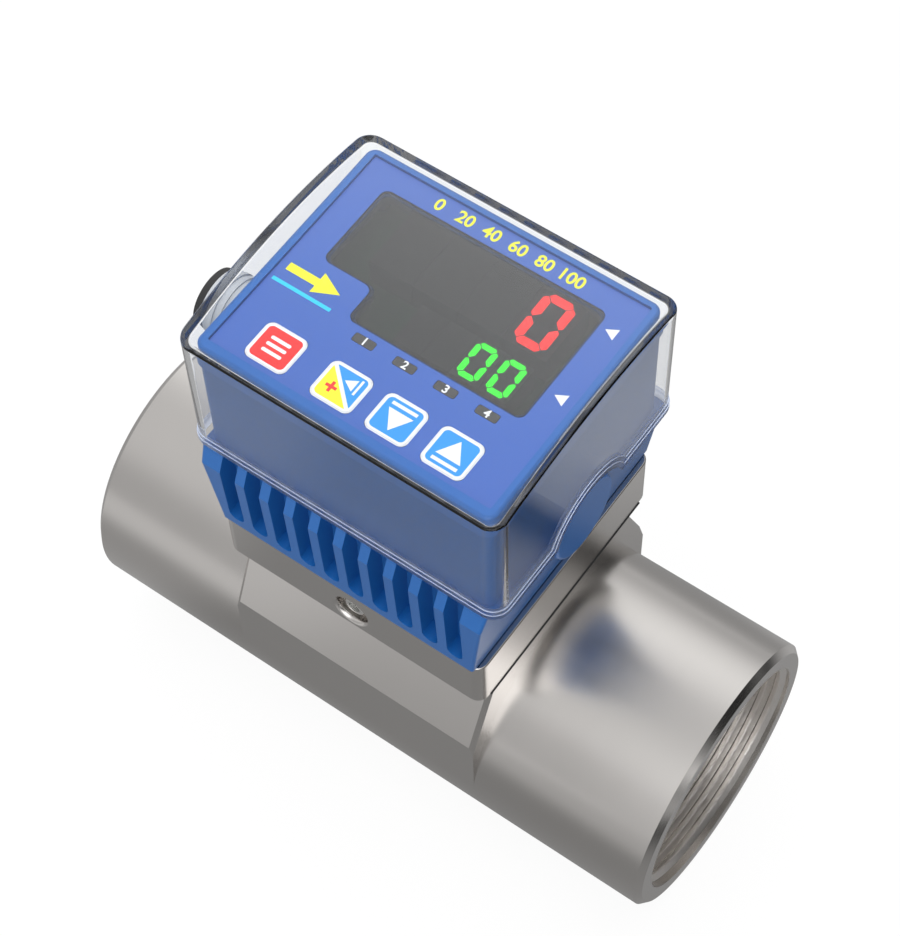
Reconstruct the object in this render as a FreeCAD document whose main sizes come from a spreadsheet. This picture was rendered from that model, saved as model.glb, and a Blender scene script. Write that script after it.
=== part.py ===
import FreeCAD, Part
import math
import os
from types import SimpleNamespace

import Sketcher

# Paddle wheel flow meter, in millimetres.
# X runs along the pipe from the inlet's mouth towards the outlet, Z points up through the display.
# Each piece is drawn about the meter's upright axis and then set half a body length along X.
numbers = {
    # flow body: a pipe with a tapped socket at each end and a block that carries the sensor
    "body_length": 183.5,
    "pipe_diameter": 81,
    "end_chamfer": 1.7,
    "thread_diameter": 68.4,
    "thread_depth": 38,
    "throat_diameter": 62.6,
    "block_end_inset": 1.45,
    "block_side_inset": 0.05,
    "block_shoulder_height": 23.9,
    "block_top_height": 48.4,
    "block_top_inset": 8.4,
    "block_corner_chamfer": 1.3,
    # sensor insert in the block
    "insert_diameter": 34,
    "insert_clearance": 0.1,
    "insert_flange_diameter": 42,
    "insert_flange_thickness": 4,
    "insert_foot_height": 28,
    "insert_cavity_diameter": 19.6,
    "insert_web": 3,
    "insert_seal_section": 2.6,
    "insert_seal_spacing": 5,
    "insert_groove_width": 3.1,
    "seal_squeeze": 0.1,
    # paddle wheel on its pin, across the flow
    "rotor_height": 19.5,
    "rotor_diameter": 20,
    "rotor_width": 10.8,
    "rotor_gap": 0.6,
    "rotor_recess_gap": 1.6,
    "rotor_hub_diameter": 7.2,
    "blade_thickness": 2.8,
    "blade_hollow": 0.35,
    "blade_margin": 1.5,
    "blade_count": 4,
    "pin_diameter": 3,
    "pin_clearance": 0.05,
    "bushing_wall": 0.8,
    "bushing_length": 3.8,
    "magnet_diameter": 1.6,
    "magnet_radius": 6.6,
    "magnet_clearance": 0.05,
    "ear_thickness": 3.6,
    "ear_radius": 4.4,
    "ear_root": 1,
    # top flange, its gasket and screws
    "gasket_thickness": 0.4,
    "gasket_inset": 0.5,
    "flange_end_proud": 1.6,
    "flange_front_inset": 1,
    "flange_thickness": 17.8,
    "flange_corner": 3.3,
    "flange_edge": 0.4,
    "flange_web": 2.4,
    "lead_hole_diameter": 24,
    "flange_screw_diameter": 6,
    "flange_screw_head": 10,
    "flange_screw_head_height": 6,
    "flange_screw_sink": 0.5,
    "flange_screw_depth": 14,
    "flange_screw_inset_x": 7.55,
    "flange_screw_inset_y": 7.3,
    "screw_clearance": 0.15,
    # swivel: spigot in the flange, held by a lock screw in a groove
    "spigot_wall_gap": 0.4,
    "spigot_clearance": 0.1,
    "spigot_wall": 5.8,
    "spigot_end_gap": 0.5,
    "spigot_collar": 5,
    "spigot_collar_thickness": 2.8,
    "spigot_groove_width": 5,
    "spigot_groove_depth": 1.8,
    "spigot_seal_section": 2,
    "spigot_seal_groove": 2.4,
    "spigot_seal_rise": 5,
    "spigot_screw_diameter": 2.6,
    "spigot_screw_head": 4.6,
    "spigot_screw_head_height": 1.8,
    "spigot_screw_floor": 0.5,
    "lock_height": 6.7,
    "lock_screw_diameter": 6,
    "lock_screw_tip": 4,
    "lock_counterbore_diameter": 9.6,
    "lock_counterbore_depth": 4.5,
    "lock_counterbore_round": 1.3,
    "lock_screw_recess": 1.5,
    "lock_tip_gap": 0.3,
    "washer_thickness": 0.6,
    "washer_inset": 0.9,
    # finned case
    "case_length": 83,
    "case_depth": 69,
    "case_foot_inset": 2.6,
    "case_foot_proud": 4.7,
    "case_ridge_rise": 25,
    "case_ridge_end_proud": 0.6,
    "case_ridge_proud": 5.7,
    "case_ledge_rise": 30.7,
    "case_ledge_end_proud": 1.2,
    "case_ledge_proud": 3.3,
    "case_height": 63.8,
    "case_corner": 2.4,
    "case_edge": 0.8,
    "case_wall": 2,
    "case_floor": 3,
    "case_lower_wall": 5.2,
    "slot_count": 10,
    "slot_pitch": 7.5,
    "slot_width": 4.7,
    "slot_foot": 3.2,
    "hub_diameter": 24,
    "hub_rise": 26.2,
    "hub_proud": 3.5,
    "hub_round": 0.8,
    # bezel and the printed panel on it
    "bezel_seal": 0.5,
    "bezel_seal_inset": 0.6,
    "bezel_end_proud": 0.7,
    "bezel_front_proud": 0.5,
    "bezel_height": 6.1,
    "bezel_corner": 2.8,
    "bezel_round": 0.9,
    "bezel_wall": 3.8,
    "skirt_depth": 3,
    "skirt_gap": 0.1,
    "rim_height": 1.6,
    "plate_thickness": 2.5,
    "rim_end_width": 2.35,
    "rim_front_width": 2.45,
    "panel_centre_y": 0.5,
    "panel_thickness": 0.8,
    "panel_gap": 0.1,
    "panel_corner": 0.5,
    "window_end_margin": 7.65,
    "window_back_margin": 6.35,
    "window_front_margin": 23.15,
    "window_notch_length": 14.9,
    "window_notch_depth": 10.3,
    "window_corner": 2.2,
    "window_ledge": 0.8,
    "lozenge_length": 6.1,
    "lozenge_depth": 2.6,
    "lozenge_ledge": 0.6,
    "lozenge_pitch": 11.6,
    "lozenge_end_margin": 7.4,
    "lozenge_window_gap": 2.9,
    # keys
    "key_length": 11.2,
    "key_depth": 10.6,
    "key_corner": 1.8,
    "key_gap": 0.3,
    "key_proud": 0.15,
    "key_flange": 0.7,
    "key_flange_thickness": 0.7,
    "key_travel": 0.4,
    "key_front_margin": 7.25,
    "first_key_margin": 14.25,
    "last_key_margin": 15.45,
    "first_key_extra": 3.2,
    "key_stem_diameter": 3.2,
    "key_stem_length": 0.5,
    "key_end_gap": 0.3,
    # boards and what they carry
    "board_thickness": 1.6,
    "board_drop": 6.1,
    "board_gap": 1.4,
    "board_corner": 1.5,
    "boss_diameter": 5,
    "boss_inset": 3,
    "stud_reach": 3,
    "board_screw_diameter": 2.6,
    "red_digit_width": 12.7,
    "red_digit_depth": 18,
    "red_digit_height": 8,
    "red_digit_count": 4,
    "digit_gap": 0.2,
    "red_end_margin": 11.2,
    "red_back_margin": 9.75,
    "green_digit_width": 8,
    "green_digit_depth": 12,
    "green_digit_height": 8,
    "green_digit_count": 4,
    "green_end_margin": 9.8,
    "green_front_margin": 8,
    "led_height": 5.6,
    "led_length": 4,
    "led_depth": 2,
    "switch_side": 6,
    "switch_height": 3.4,
    "standoff_height": 16,
    "standoff_width": 5,
    "board_screw_head": 4.8,
    "board_screw_head_height": 1.8,
    "board_screw_depth": 5,
    "terminal_length": 10,
    "terminal_depth": 30.5,
    "terminal_height": 9,
    "terminal_ways": 6,
    "terminal_wall_gap": 9.3,
    "terminal_entry": 3,
    "terminal_entry_depth": 6,
    "terminal_entry_rise": 3,
    "terminal_screw_depth": 2.2,
    "socket_side": 7,
    "socket_height": 5,
    # sensor electronics
    "hall_board_thickness": 1.6,
    "hall_board_lift": 1.6,
    "hall_board_gap": 0.2,
    "hall_chip_length": 4,
    "hall_chip_depth": 3,
    "lead_diameter": 3.6,
    "lead_plug_diameter": 6,
    "lead_plug_length": 6,
    "lead_end_gap": 0.3,
    # cable gland on the inlet side
    "gland_bore": 7,
    "gland_body_bore": 10,
    "gland_thread_diameter": 12,
    "gland_thread_gap": 0.1,
    "gland_thread_proud": 1,
    "gland_outer_thread_diameter": 14.4,
    "gland_outer_thread_length": 10,
    "gland_collar_diameter": 18.8,
    "gland_collar_length": 5,
    "gland_nut_diameter": 18.8,
    "gland_nut_mouth": 18.4,
    "gland_nut_length": 17.25,
    "gland_grip_length": 16.4,
    "gland_ridges": 8,
    "gland_ridge_depth": 0.5,
    "gland_seal_diameter": 18.4,
    "gland_seal_taper": 0.7,
    "gland_seal_length": 2.25,
    "gland_locknut_width": 16,
    "gland_locknut_thickness": 3.2,
    # clear cover
    "cover_end_gap": 1.75,
    "cover_front_gap": 1.1,
    "cover_wall": 1.8,
    "cover_top": 1.6,
    "cover_seat_gap": 0.3,
    "cover_height": 41,
    "cover_crown": 4.4,
    "cover_corner": 4.5,
    "cover_round": 0.7,
    "lip_height": 1.5,
    "lip_step": 0.5,
    "arch_diameter": 29.2,
}


class Size:
    """A size of the meter: its number, and the expression that ties it to the sheet."""

    def __init__(self, number, text):
        self.number = float(number)
        self.text = text

    def __float__(self):
        return self.number

    def __add__(self, other):
        other = size_of(other)
        return Size(self.number + other.number, f"({self.text} + {other.text})")

    def __sub__(self, other):
        other = size_of(other)
        return Size(self.number - other.number, f"({self.text} - {other.text})")

    def __mul__(self, other):
        other = size_of(other)
        return Size(self.number * other.number, f"({self.text} * {other.text})")

    def __truediv__(self, other):
        other = size_of(other)
        return Size(self.number / other.number, f"({self.text} / {other.text})")

    def __neg__(self):
        return Size(-self.number, f"(-1 * {self.text})")

    __radd__ = __add__
    __rmul__ = __mul__


def size_of(value):
    return value if isinstance(value, Size) else Size(value, f"({float(value)})")


doc = FreeCAD.newDocument("flow_meter")
sheet = doc.addObject("Spreadsheet::Sheet", "sizes")
for row, (name, number) in enumerate(numbers.items(), start=1):
    sheet.set(f"A{row}", name)
    sheet.set(f"B{row}", str(number))
    sheet.setAlias(f"B{row}", name)
doc.recompute()
s = SimpleNamespace(**{name: Size(number, f"sizes.{name}") for name, number in numbers.items()})
zero = size_of(0)

# lengths along X and depths along Y that follow the case
s.case_foot_length = s.case_length - s.case_foot_inset * 2
s.case_foot_depth = s.case_depth + s.case_foot_proud * 2
s.case_ridge_length = s.case_length + s.case_ridge_end_proud * 2
s.case_ridge_depth = s.case_depth + s.case_ridge_proud * 2
s.case_ledge_length = s.case_length + s.case_ledge_end_proud * 2
s.case_ledge_depth = s.case_depth + s.case_ledge_proud * 2
s.hub_reach = s.case_length / 2 + s.hub_proud
s.flange_length = s.case_foot_length + s.flange_end_proud * 2
s.flange_depth = s.case_foot_depth - s.flange_front_inset * 2
s.block_length = s.flange_length - s.block_end_inset * 2
s.block_top_depth = s.flange_depth - s.block_top_inset * 2
s.flange_screw_span_x = s.block_length - s.flange_screw_inset_x * 2
s.flange_screw_span_y = s.block_top_depth - s.flange_screw_inset_y * 2
spigot_margin = s.case_lower_wall + s.spigot_wall_gap + s.spigot_collar - s.spigot_clearance
s.spigot_diameter = s.case_depth - spigot_margin * 2
s.bezel_length = s.case_length + s.bezel_end_proud * 2
s.bezel_depth = s.case_depth + s.bezel_front_proud * 2
s.cover_length = s.bezel_length + (s.cover_end_gap + s.cover_wall) * 2
s.cover_depth = s.bezel_depth + (s.cover_front_gap + s.cover_wall) * 2
s.panel_length = s.bezel_length - s.rim_end_width * 2
s.panel_depth = s.bezel_depth - s.rim_front_width * 2

# places on the panel, from its edges
panel_back = s.panel_centre_y + s.panel_depth / 2
panel_front = s.panel_centre_y - s.panel_depth / 2
s.window_length = s.panel_length - s.window_end_margin * 2
window_back = panel_back - s.window_back_margin
window_front = panel_front + s.window_front_margin
window_end = s.window_length / 2
s.lozenge_y = window_front - s.lozenge_window_gap
s.key_row_y = panel_front + s.key_front_margin
first_key_x = s.first_key_margin - s.panel_length / 2
last_key_x = s.panel_length / 2 - s.last_key_margin
key_pitch = (last_key_x - first_key_x - s.first_key_extra) / 3
s.red_last_x = window_end - s.red_end_margin
s.red_row_y = window_back - s.red_back_margin
s.green_last_x = window_end - s.green_end_margin
s.green_row_y = window_front + s.green_front_margin

# heights that several pieces share, from the pipe's axis up
flange_bottom = s.block_top_height + s.gasket_thickness
flange_top = flange_bottom + s.flange_thickness
spigot_bottom = flange_bottom + s.flange_web + s.spigot_end_gap
case_bottom = flange_top + s.washer_thickness
case_floor_top = case_bottom + s.case_floor
ridge_z = case_bottom + s.case_ridge_rise
ledge_z = case_bottom + s.case_ledge_rise
case_top = case_bottom + s.case_height
hub_z = case_bottom + s.hub_rise
bezel_bottom = case_top + s.bezel_seal
bezel_top = bezel_bottom + s.bezel_height
panel_floor = bezel_top - s.rim_height
plate_bottom = panel_floor - s.plate_thickness
panel_top = panel_floor + s.panel_thickness
board_top = plate_bottom - s.board_drop
board_bottom = board_top - s.board_thickness
power_board_top = board_bottom - s.standoff_height
power_board_bottom = power_board_top - s.board_thickness
cover_bottom = ledge_z + s.cover_seat_gap
cover_edge = cover_bottom + s.cover_height
insert_shoulder = s.block_top_height - s.insert_flange_thickness
recess_radius = s.rotor_diameter / 2 + s.rotor_recess_gap
cavity_floor = s.rotor_height + recess_radius + s.insert_web
ear_inner = s.rotor_width / 2 + s.rotor_gap
wall_inside = s.case_lower_wall - s.case_length / 2
lock_z = flange_bottom + s.lock_height
spigot_radius = s.spigot_diameter / 2 - s.spigot_clearance
spigot_bore = spigot_radius - s.spigot_wall
key_flange_top = plate_bottom - s.key_gap
key_stem_bottom = key_flange_top - s.key_flange_thickness - s.key_stem_length
board_length = s.case_length - s.case_wall * 2 - s.board_gap * 2
board_depth = s.case_depth - s.case_wall * 2 - s.board_gap * 2


# drawing helpers


def piece(name):
    """A new sub-part, drawn about the meter's upright axis."""
    body = doc.addObject("PartDesign::Body", name)
    body.Label = name
    return body


def lifted(body, height):
    """Set a piece that is drawn about its own axis at its height."""
    body.setExpression("Placement.Base.z", height.text)
    return body


def sketch_on(body, role, lift=zero):
    """A sketch on one of the body's own planes, lifted along the plane's normal."""
    sketch = body.newObject("Sketcher::SketchObject", f"{body.Name}_sketch")
    plane = [feature for feature in body.Origin.OriginFeatures if feature.Role == role][0]
    sketch.AttachmentSupport = [(plane, "")]
    sketch.MapMode = "FlatFace"
    sketch.setExpression("AttachmentOffset.Base.z", size_of(lift).text)
    return sketch


def tie(sketch, kind, geometry, point, value):
    """Hold one point of the sketch at a size from its origin."""
    value = size_of(value)
    if abs(float(value)) < 1e-9:
        axis = -2 if kind == "DistanceX" else -1
        sketch.addConstraint(Sketcher.Constraint("PointOnObject", geometry, point, axis))
        return
    index = sketch.addConstraint(Sketcher.Constraint(kind, -1, 1, geometry, point, float(value)))
    sketch.setExpression(f"Constraints[{index}]", value.text)


def tie_radius(sketch, geometry, radius):
    index = sketch.addConstraint(Sketcher.Constraint("Radius", geometry, float(radius)))
    sketch.setExpression(f"Constraints[{index}]", size_of(radius).text)


def outline(sketch, corners):
    """A closed straight-sided outline whose corners are tied to their sizes."""
    points = [FreeCAD.Vector(float(x), float(y), 0) for x, y in corners]
    first = sketch.GeometryCount
    count = len(points)
    for i in range(count):
        sketch.addGeometry(Part.LineSegment(points[i], points[(i + 1) % count]), False)
    for i in range(count):
        sketch.addConstraint(Sketcher.Constraint("Coincident", first + i, 2, first + (i + 1) % count, 1))
    for i, (x, y) in enumerate(corners):
        tie(sketch, "DistanceX", first + i, 1, x)
        tie(sketch, "DistanceY", first + i, 1, y)


def rectangle(sketch, length, depth, x=zero, y=zero):
    x, y = size_of(x), size_of(y)
    half_length, half_depth = size_of(length) / 2, size_of(depth) / 2
    outline(sketch, [
        (x - half_length, y - half_depth),
        (x + half_length, y - half_depth),
        (x + half_length, y + half_depth),
        (x - half_length, y + half_depth),
    ])


def ring(sketch, radius, x=zero, y=zero):
    centre = FreeCAD.Vector(float(x), float(y), 0)
    circle = sketch.addGeometry(Part.Circle(centre, FreeCAD.Vector(0, 0, 1), float(radius)), False)
    tie(sketch, "DistanceX", circle, 3, x)
    tie(sketch, "DistanceY", circle, 3, y)
    tie_radius(sketch, circle, radius)


def hexagon(sketch, across, x=zero, y=zero):
    """A hexagon of a width across its flats."""
    reach = size_of(across) / math.sqrt(3)
    x, y = size_of(x), size_of(y)
    turns = [math.radians(60 * i) for i in range(6)]
    outline(sketch, [(x + reach * round(math.cos(a), 9), y + reach * round(math.sin(a), 9)) for a in turns])


def feature(body, kind, sketch, length=None, both=False, reverse=False):
    made = body.newObject(f"PartDesign::{kind}", f"{body.Name}_{kind.lower()}")
    made.Profile = sketch
    if length is not None:
        made.setExpression("Length", size_of(length).text)
    made.Midplane = both
    made.Reversed = reverse
    return made


def pad(body, sketch, length, both=False, reverse=False):
    return feature(body, "Pad", sketch, length, both, reverse)


def pocket(body, sketch, length, both=False, reverse=False):
    return feature(body, "Pocket", sketch, length, both, reverse)


def revolve(body, sketch, axis="V_Axis"):
    made = feature(body, "Revolution", sketch)
    made.ReferenceAxis = (sketch, [axis])
    return made


def edges_where(shape, wanted):
    return [f"Edge{i}" for i, edge in enumerate(shape.Edges, start=1) if wanted(edge)]


def soften(body, kind, size, wanted):
    """Round or chamfer the edges that the test picks."""
    doc.recompute()
    base = body.Tip
    made = body.newObject(f"PartDesign::{kind}", f"{body.Name}_{kind.lower()}")
    made.Base = (base, edges_where(base.Shape, wanted))
    made.setExpression("Radius" if kind == "Fillet" else "Size", size_of(size).text)
    return made


def upright(edge):
    """True for a straight edge along Z."""
    box = edge.BoundBox
    return box.ZLength > 1e-6 and box.XLength < 1e-6 and box.YLength < 1e-6


def level(edge):
    """True for an edge that lies flat."""
    return edge.BoundBox.ZLength < 1e-6


def round_at(edge, radius):
    """True for a full circle of a radius."""
    return edge.isClosed() and abs(edge.Length - 2 * math.pi * float(radius)) < 1e-3


def slab(name, length, depth, bottom, height, x=zero, y=zero, corner=None):
    """A flat rectangular block with its upright corners rounded where asked."""
    body = piece(name)
    sketch = sketch_on(body, "XY_Plane", bottom)
    rectangle(sketch, length, depth, x, y)
    pad(body, sketch, height)
    if corner is not None:
        soften(body, "Fillet", corner, upright)
    return body


def holes_down(body, top, depth, centres, radius):
    sketch = sketch_on(body, "XY_Plane", top)
    for x, y in centres:
        ring(sketch, radius, x, y)
    return pocket(body, sketch, depth)


def corners_at(span_x, span_y):
    """The four corners of a rectangle about the upright axis."""
    half_x, half_y = size_of(span_x) / 2, size_of(span_y) / 2
    return [(half_x, half_y), (-half_x, half_y), (-half_x, -half_y), (half_x, -half_y)]


def pegs(name, centres, radius, bottom, height):
    """A group of equal upright round pegs, one solid each."""
    body = piece(name)
    sketch = sketch_on(body, "XY_Plane", bottom)
    for x, y in centres:
        ring(sketch, radius, x, y)
    pad(body, sketch, height)
    return body


def turned_about_z(name, profile):
    """A turned piece on the upright axis, from a profile of radius and height."""
    body = piece(name)
    sketch = sketch_on(body, "XZ_Plane")
    outline(sketch, profile)
    revolve(body, sketch)
    return body


def combine(kind, name, base, tool):
    made = doc.addObject(f"Part::{kind}", name)
    made.Label = name
    made.Base = base
    made.Tool = tool
    return made


# flow body


def block_outline(sketch):
    """The block's section across the pipe: upright sides, then slopes up to a narrow top."""
    side = s.pipe_diameter / 2 - s.block_side_inset
    top = s.block_top_depth / 2
    outline(sketch, [
        (-side, zero),
        (side, zero),
        (side, s.block_shoulder_height),
        (top, s.block_top_height),
        (-top, s.block_top_height),
        (-side, s.block_shoulder_height),
    ])


def make_flow_body():
    radius = s.pipe_diameter / 2
    half = s.body_length / 2
    pipe = piece("pipe_barrel")
    sketch = sketch_on(pipe, "XZ_Plane")
    outline(sketch, [
        (-half, zero),
        (half, zero),
        (half, radius - s.end_chamfer),
        (half - s.end_chamfer, radius),
        (s.end_chamfer - half, radius),
        (-half, radius - s.end_chamfer),
    ])
    revolve(pipe, sketch, "H_Axis")

    block = piece("block_prism")
    sketch = sketch_on(block, "YZ_Plane")
    block_outline(sketch)
    pad(block, sketch, s.block_length, both=True)
    end = float(s.block_length) / 2

    def slope_corner(edge):
        box = edge.BoundBox
        at_end = abs(abs(box.Center.x) - end) < 1e-6 and box.XLength < 1e-6
        return at_end and min(box.YLength, box.ZLength) > 1

    soften(block, "Chamfer", s.block_corner_chamfer, slope_corner)

    outside = combine("Fuse", "body_outside", pipe, block)

    bores = piece("flow_bores")
    sketch = sketch_on(bores, "XZ_Plane")
    tapped = s.thread_diameter / 2
    throat = s.throat_diameter / 2
    inner = half - s.thread_depth
    step = tapped - throat
    outline(sketch, [
        (-half, zero),
        (half, zero),
        (half, tapped),
        (inner, tapped),
        (inner - step, throat),
        (step - inner, throat),
        (-inner, tapped),
        (-half, tapped),
    ])
    revolve(bores, sketch, "H_Axis")

    seat = turned_about_z("insert_seat", [
        (zero, zero),
        (s.insert_diameter / 2, zero),
        (s.insert_diameter / 2, insert_shoulder),
        (s.insert_flange_diameter / 2 + s.insert_clearance, insert_shoulder),
        (s.insert_flange_diameter / 2 + s.insert_clearance, s.block_top_height),
        (zero, s.block_top_height),
    ])
    taps = pegs("screw_taps", corners_at(s.flange_screw_span_x, s.flange_screw_span_y),
                s.flange_screw_diameter / 2 + s.screw_clearance / 2,
                s.block_top_height - s.flange_screw_depth - s.screw_clearance,
                s.flange_screw_depth + s.screw_clearance)
    bored = combine("Cut", "body_bored", outside, bores)
    seated = combine("Cut", "body_seated", bored, seat)
    return combine("Cut", "flow_body", seated, taps)


# sensor insert and paddle wheel


def seal_heights():
    upper = insert_shoulder - s.insert_seal_section
    return [upper, upper - s.insert_seal_spacing]


def make_sensor_insert():
    barrel = s.insert_diameter / 2 - s.insert_clearance
    body = turned_about_z("sensor_insert", [
        (zero, s.insert_foot_height),
        (barrel, s.insert_foot_height),
        (barrel, insert_shoulder),
        (s.insert_flange_diameter / 2, insert_shoulder),
        (s.insert_flange_diameter / 2, s.block_top_height),
        (s.insert_cavity_diameter / 2, s.block_top_height),
        (s.insert_cavity_diameter / 2, cavity_floor),
        (zero, cavity_floor),
    ])
    # two ears that carry the paddle wheel's pin
    for sign in (-1, 1):
        sketch = sketch_on(body, "XZ_Plane", (ear_inner + s.ear_thickness / 2) * sign - s.ear_thickness / 2)
        ear_outline(sketch)
        pad(body, sketch, s.ear_thickness)
    sketch = sketch_on(body, "XZ_Plane")
    ring(sketch, recess_radius, zero, s.rotor_height)
    pocket(body, sketch, ear_inner * 2, both=True)
    sketch = sketch_on(body, "XZ_Plane")
    ring(sketch, s.pin_diameter / 2, zero, s.rotor_height)
    pocket(body, sketch, s.insert_diameter, both=True)
    # grooves for the seals
    sketch = sketch_on(body, "XZ_Plane")
    for height in seal_heights():
        rectangle(sketch, s.insert_seal_section * 2, s.insert_groove_width, barrel, height)
    groove = body.newObject("PartDesign::Groove", "insert_grooves")
    groove.Profile = sketch
    groove.ReferenceAxis = (sketch, ["V_Axis"])
    return body


def ear_outline(sketch):
    """An ear that hangs from the insert and ends in a half round about the pin."""
    radius = s.ear_radius
    top = s.insert_foot_height + s.ear_root
    left = FreeCAD.Vector(-float(radius), float(s.rotor_height), 0)
    right = FreeCAD.Vector(float(radius), float(s.rotor_height), 0)
    bottom = FreeCAD.Vector(0, float(s.rotor_height - radius), 0)
    arc = sketch.addGeometry(Part.Arc(left, bottom, right), False)
    top_right = FreeCAD.Vector(float(radius), float(top), 0)
    top_left = FreeCAD.Vector(-float(radius), float(top), 0)
    corners = [right, top_right, top_left, left]
    lines = [sketch.addGeometry(Part.LineSegment(a, b), False) for a, b in zip(corners, corners[1:])]
    sketch.addConstraint(Sketcher.Constraint("Coincident", arc, 2, lines[0], 1))
    sketch.addConstraint(Sketcher.Constraint("Coincident", lines[0], 2, lines[1], 1))
    sketch.addConstraint(Sketcher.Constraint("Coincident", lines[1], 2, lines[2], 1))
    sketch.addConstraint(Sketcher.Constraint("Coincident", lines[2], 2, arc, 1))
    places = [(lines[0], 1, radius, s.rotor_height), (lines[1], 1, radius, top),
              (lines[2], 1, -radius, top), (lines[2], 2, -radius, s.rotor_height)]
    for line, end, x, y in places:
        tie(sketch, "DistanceX", line, end, x)
        tie(sketch, "DistanceY", line, end, y)
    tie(sketch, "DistanceY", arc, 3, s.rotor_height)


def make_insert_seals():
    body = piece("insert_seals")
    sketch = sketch_on(body, "XZ_Plane")
    section = s.insert_seal_section / 2 - s.seal_squeeze
    barrel = s.insert_diameter / 2 - s.insert_clearance
    for height in seal_heights():
        ring(sketch, section, barrel - section, height)
    revolve(body, sketch)
    return body


def make_paddle_wheel():
    """Hub with blades that are hollowed on both faces, so that each scoops the flow."""
    body = piece("paddle_wheel")
    tip = s.rotor_diameter / 2
    hub = s.rotor_hub_diameter / 2
    blade_width = s.rotor_width - s.rotor_gap
    sketch = sketch_on(body, "XZ_Plane")
    ring(sketch, hub)
    pad(body, sketch, s.rotor_width, both=True)
    sketch = sketch_on(body, "XZ_Plane")
    rectangle(sketch, s.blade_thickness, tip, zero, tip / 2)
    blade = pad(body, sketch, blade_width, both=True)
    sketch = sketch_on(body, "XY_Plane", tip)
    scoop_width = blade_width - s.blade_margin * 2
    for sign in (-1, 1):
        rectangle(sketch, s.blade_hollow * 2, scoop_width, s.blade_thickness / 2 * sign)
    scoop = pocket(body, sketch, tip - hub - s.blade_hollow)
    sketch = sketch_on(body, "XZ_Plane")
    ring(sketch, s.magnet_diameter / 2, zero, s.magnet_radius)
    magnet_hole = pocket(body, sketch, s.rotor_width, both=True)
    doc.recompute()
    pattern = body.newObject("PartDesign::PolarPattern", "blade_pattern")
    pattern.Originals = [blade, scoop, magnet_hole]
    turning_axis = [feature for feature in body.Origin.OriginFeatures if feature.Role == "Y_Axis"][0]
    pattern.Axis = (turning_axis, [""])
    pattern.Angle = 360
    pattern.setExpression("Occurrences", s.blade_count.text)
    body.Tip = pattern
    sketch = sketch_on(body, "XZ_Plane")
    ring(sketch, s.pin_diameter / 2 + s.pin_clearance + s.bushing_wall)
    pocket(body, sketch, s.rotor_width, both=True)
    return lifted(body, s.rotor_height)


def make_paddle_magnets():
    body = piece("paddle_magnets")
    sketch = sketch_on(body, "XZ_Plane")
    ring(sketch, s.magnet_diameter / 2 - s.magnet_clearance, zero, s.magnet_radius)
    magnet = pad(body, sketch, s.rotor_width - s.rotor_gap, both=True)
    doc.recompute()
    pattern = body.newObject("PartDesign::PolarPattern", "magnet_pattern")
    pattern.Originals = [magnet]
    turning_axis = [feature for feature in body.Origin.OriginFeatures if feature.Role == "Y_Axis"][0]
    pattern.Axis = (turning_axis, [""])
    pattern.Angle = 360
    pattern.setExpression("Occurrences", s.blade_count.text)
    body.Tip = pattern
    return lifted(body, s.rotor_height)


def make_rotor_bushings():
    """Two flanged bushings, pressed into the hub from its ends."""
    body = piece("rotor_bushings")
    bore = s.pin_diameter / 2 + s.pin_clearance
    outer = bore + s.bushing_wall
    face = s.rotor_width / 2
    flange = s.rotor_gap / 2
    inner = face - s.bushing_length
    for sign in (-1, 1):
        sketch = sketch_on(body, "XY_Plane")
        outline(sketch, [
            (bore, inner * sign),
            (outer, inner * sign),
            (outer, face * sign),
            (outer + s.bushing_wall, face * sign),
            (outer + s.bushing_wall, (face + flange) * sign),
            (bore, (face + flange) * sign),
        ])
        revolve(body, sketch)
    return lifted(body, s.rotor_height)


def along_y(name, radius, length, x, z, bore=None):
    """A round piece along Y, centred on the meter's middle plane."""
    body = piece(name)
    sketch = sketch_on(body, "XZ_Plane")
    ring(sketch, radius, x, z)
    if bore is not None:
        ring(sketch, bore, x, z)
    pad(body, sketch, length, both=True)
    return body


# flange between the flow body and the display


flange_screw_places = corners_at(s.flange_screw_span_x, s.flange_screw_span_y)
on_axis = [(zero, zero)]


def make_flange_gasket():
    margin = s.gasket_inset * 2
    body = slab("flange_gasket", s.block_length - margin, s.block_top_depth - margin, s.block_top_height,
                s.gasket_thickness)
    holes_down(body, flange_bottom, s.gasket_thickness, on_axis, s.lead_hole_diameter / 2)
    holes_down(body, flange_bottom, s.gasket_thickness, flange_screw_places,
               s.flange_screw_diameter / 2 + s.screw_clearance)
    return body


def make_top_flange():
    body = slab("top_flange", s.flange_length, s.flange_depth, flange_bottom, s.flange_thickness,
                corner=s.flange_corner)
    soften(body, "Fillet", s.flange_edge, level)
    holes_down(body, flange_top, s.flange_thickness - s.flange_web, on_axis, s.spigot_diameter / 2)
    holes_down(body, flange_top, s.flange_thickness, on_axis, s.lead_hole_diameter / 2)
    holes_down(body, flange_top, s.flange_screw_head_height + s.flange_screw_sink, flange_screw_places,
               s.flange_screw_head / 2 + s.screw_clearance)
    holes_down(body, flange_top, s.flange_thickness, flange_screw_places,
               s.flange_screw_diameter / 2 + s.screw_clearance)
    # tapped hole for the lock screw, counterbored from the front
    front = s.flange_depth / 2
    for radius, depth in (
        (s.lock_screw_diameter / 2 + s.screw_clearance / 2, front),
        (s.lock_counterbore_diameter / 2, s.lock_counterbore_depth),
    ):
        sketch = sketch_on(body, "XZ_Plane", front)
        ring(sketch, radius, zero, lock_z)
        pocket(body, sketch, depth)

    def counterbore_mouth(edge):
        return round_at(edge, s.lock_counterbore_diameter / 2) and edge.BoundBox.YMax < 1e-6 - float(front)

    soften(body, "Fillet", s.lock_counterbore_round, counterbore_mouth)
    return body


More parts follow.
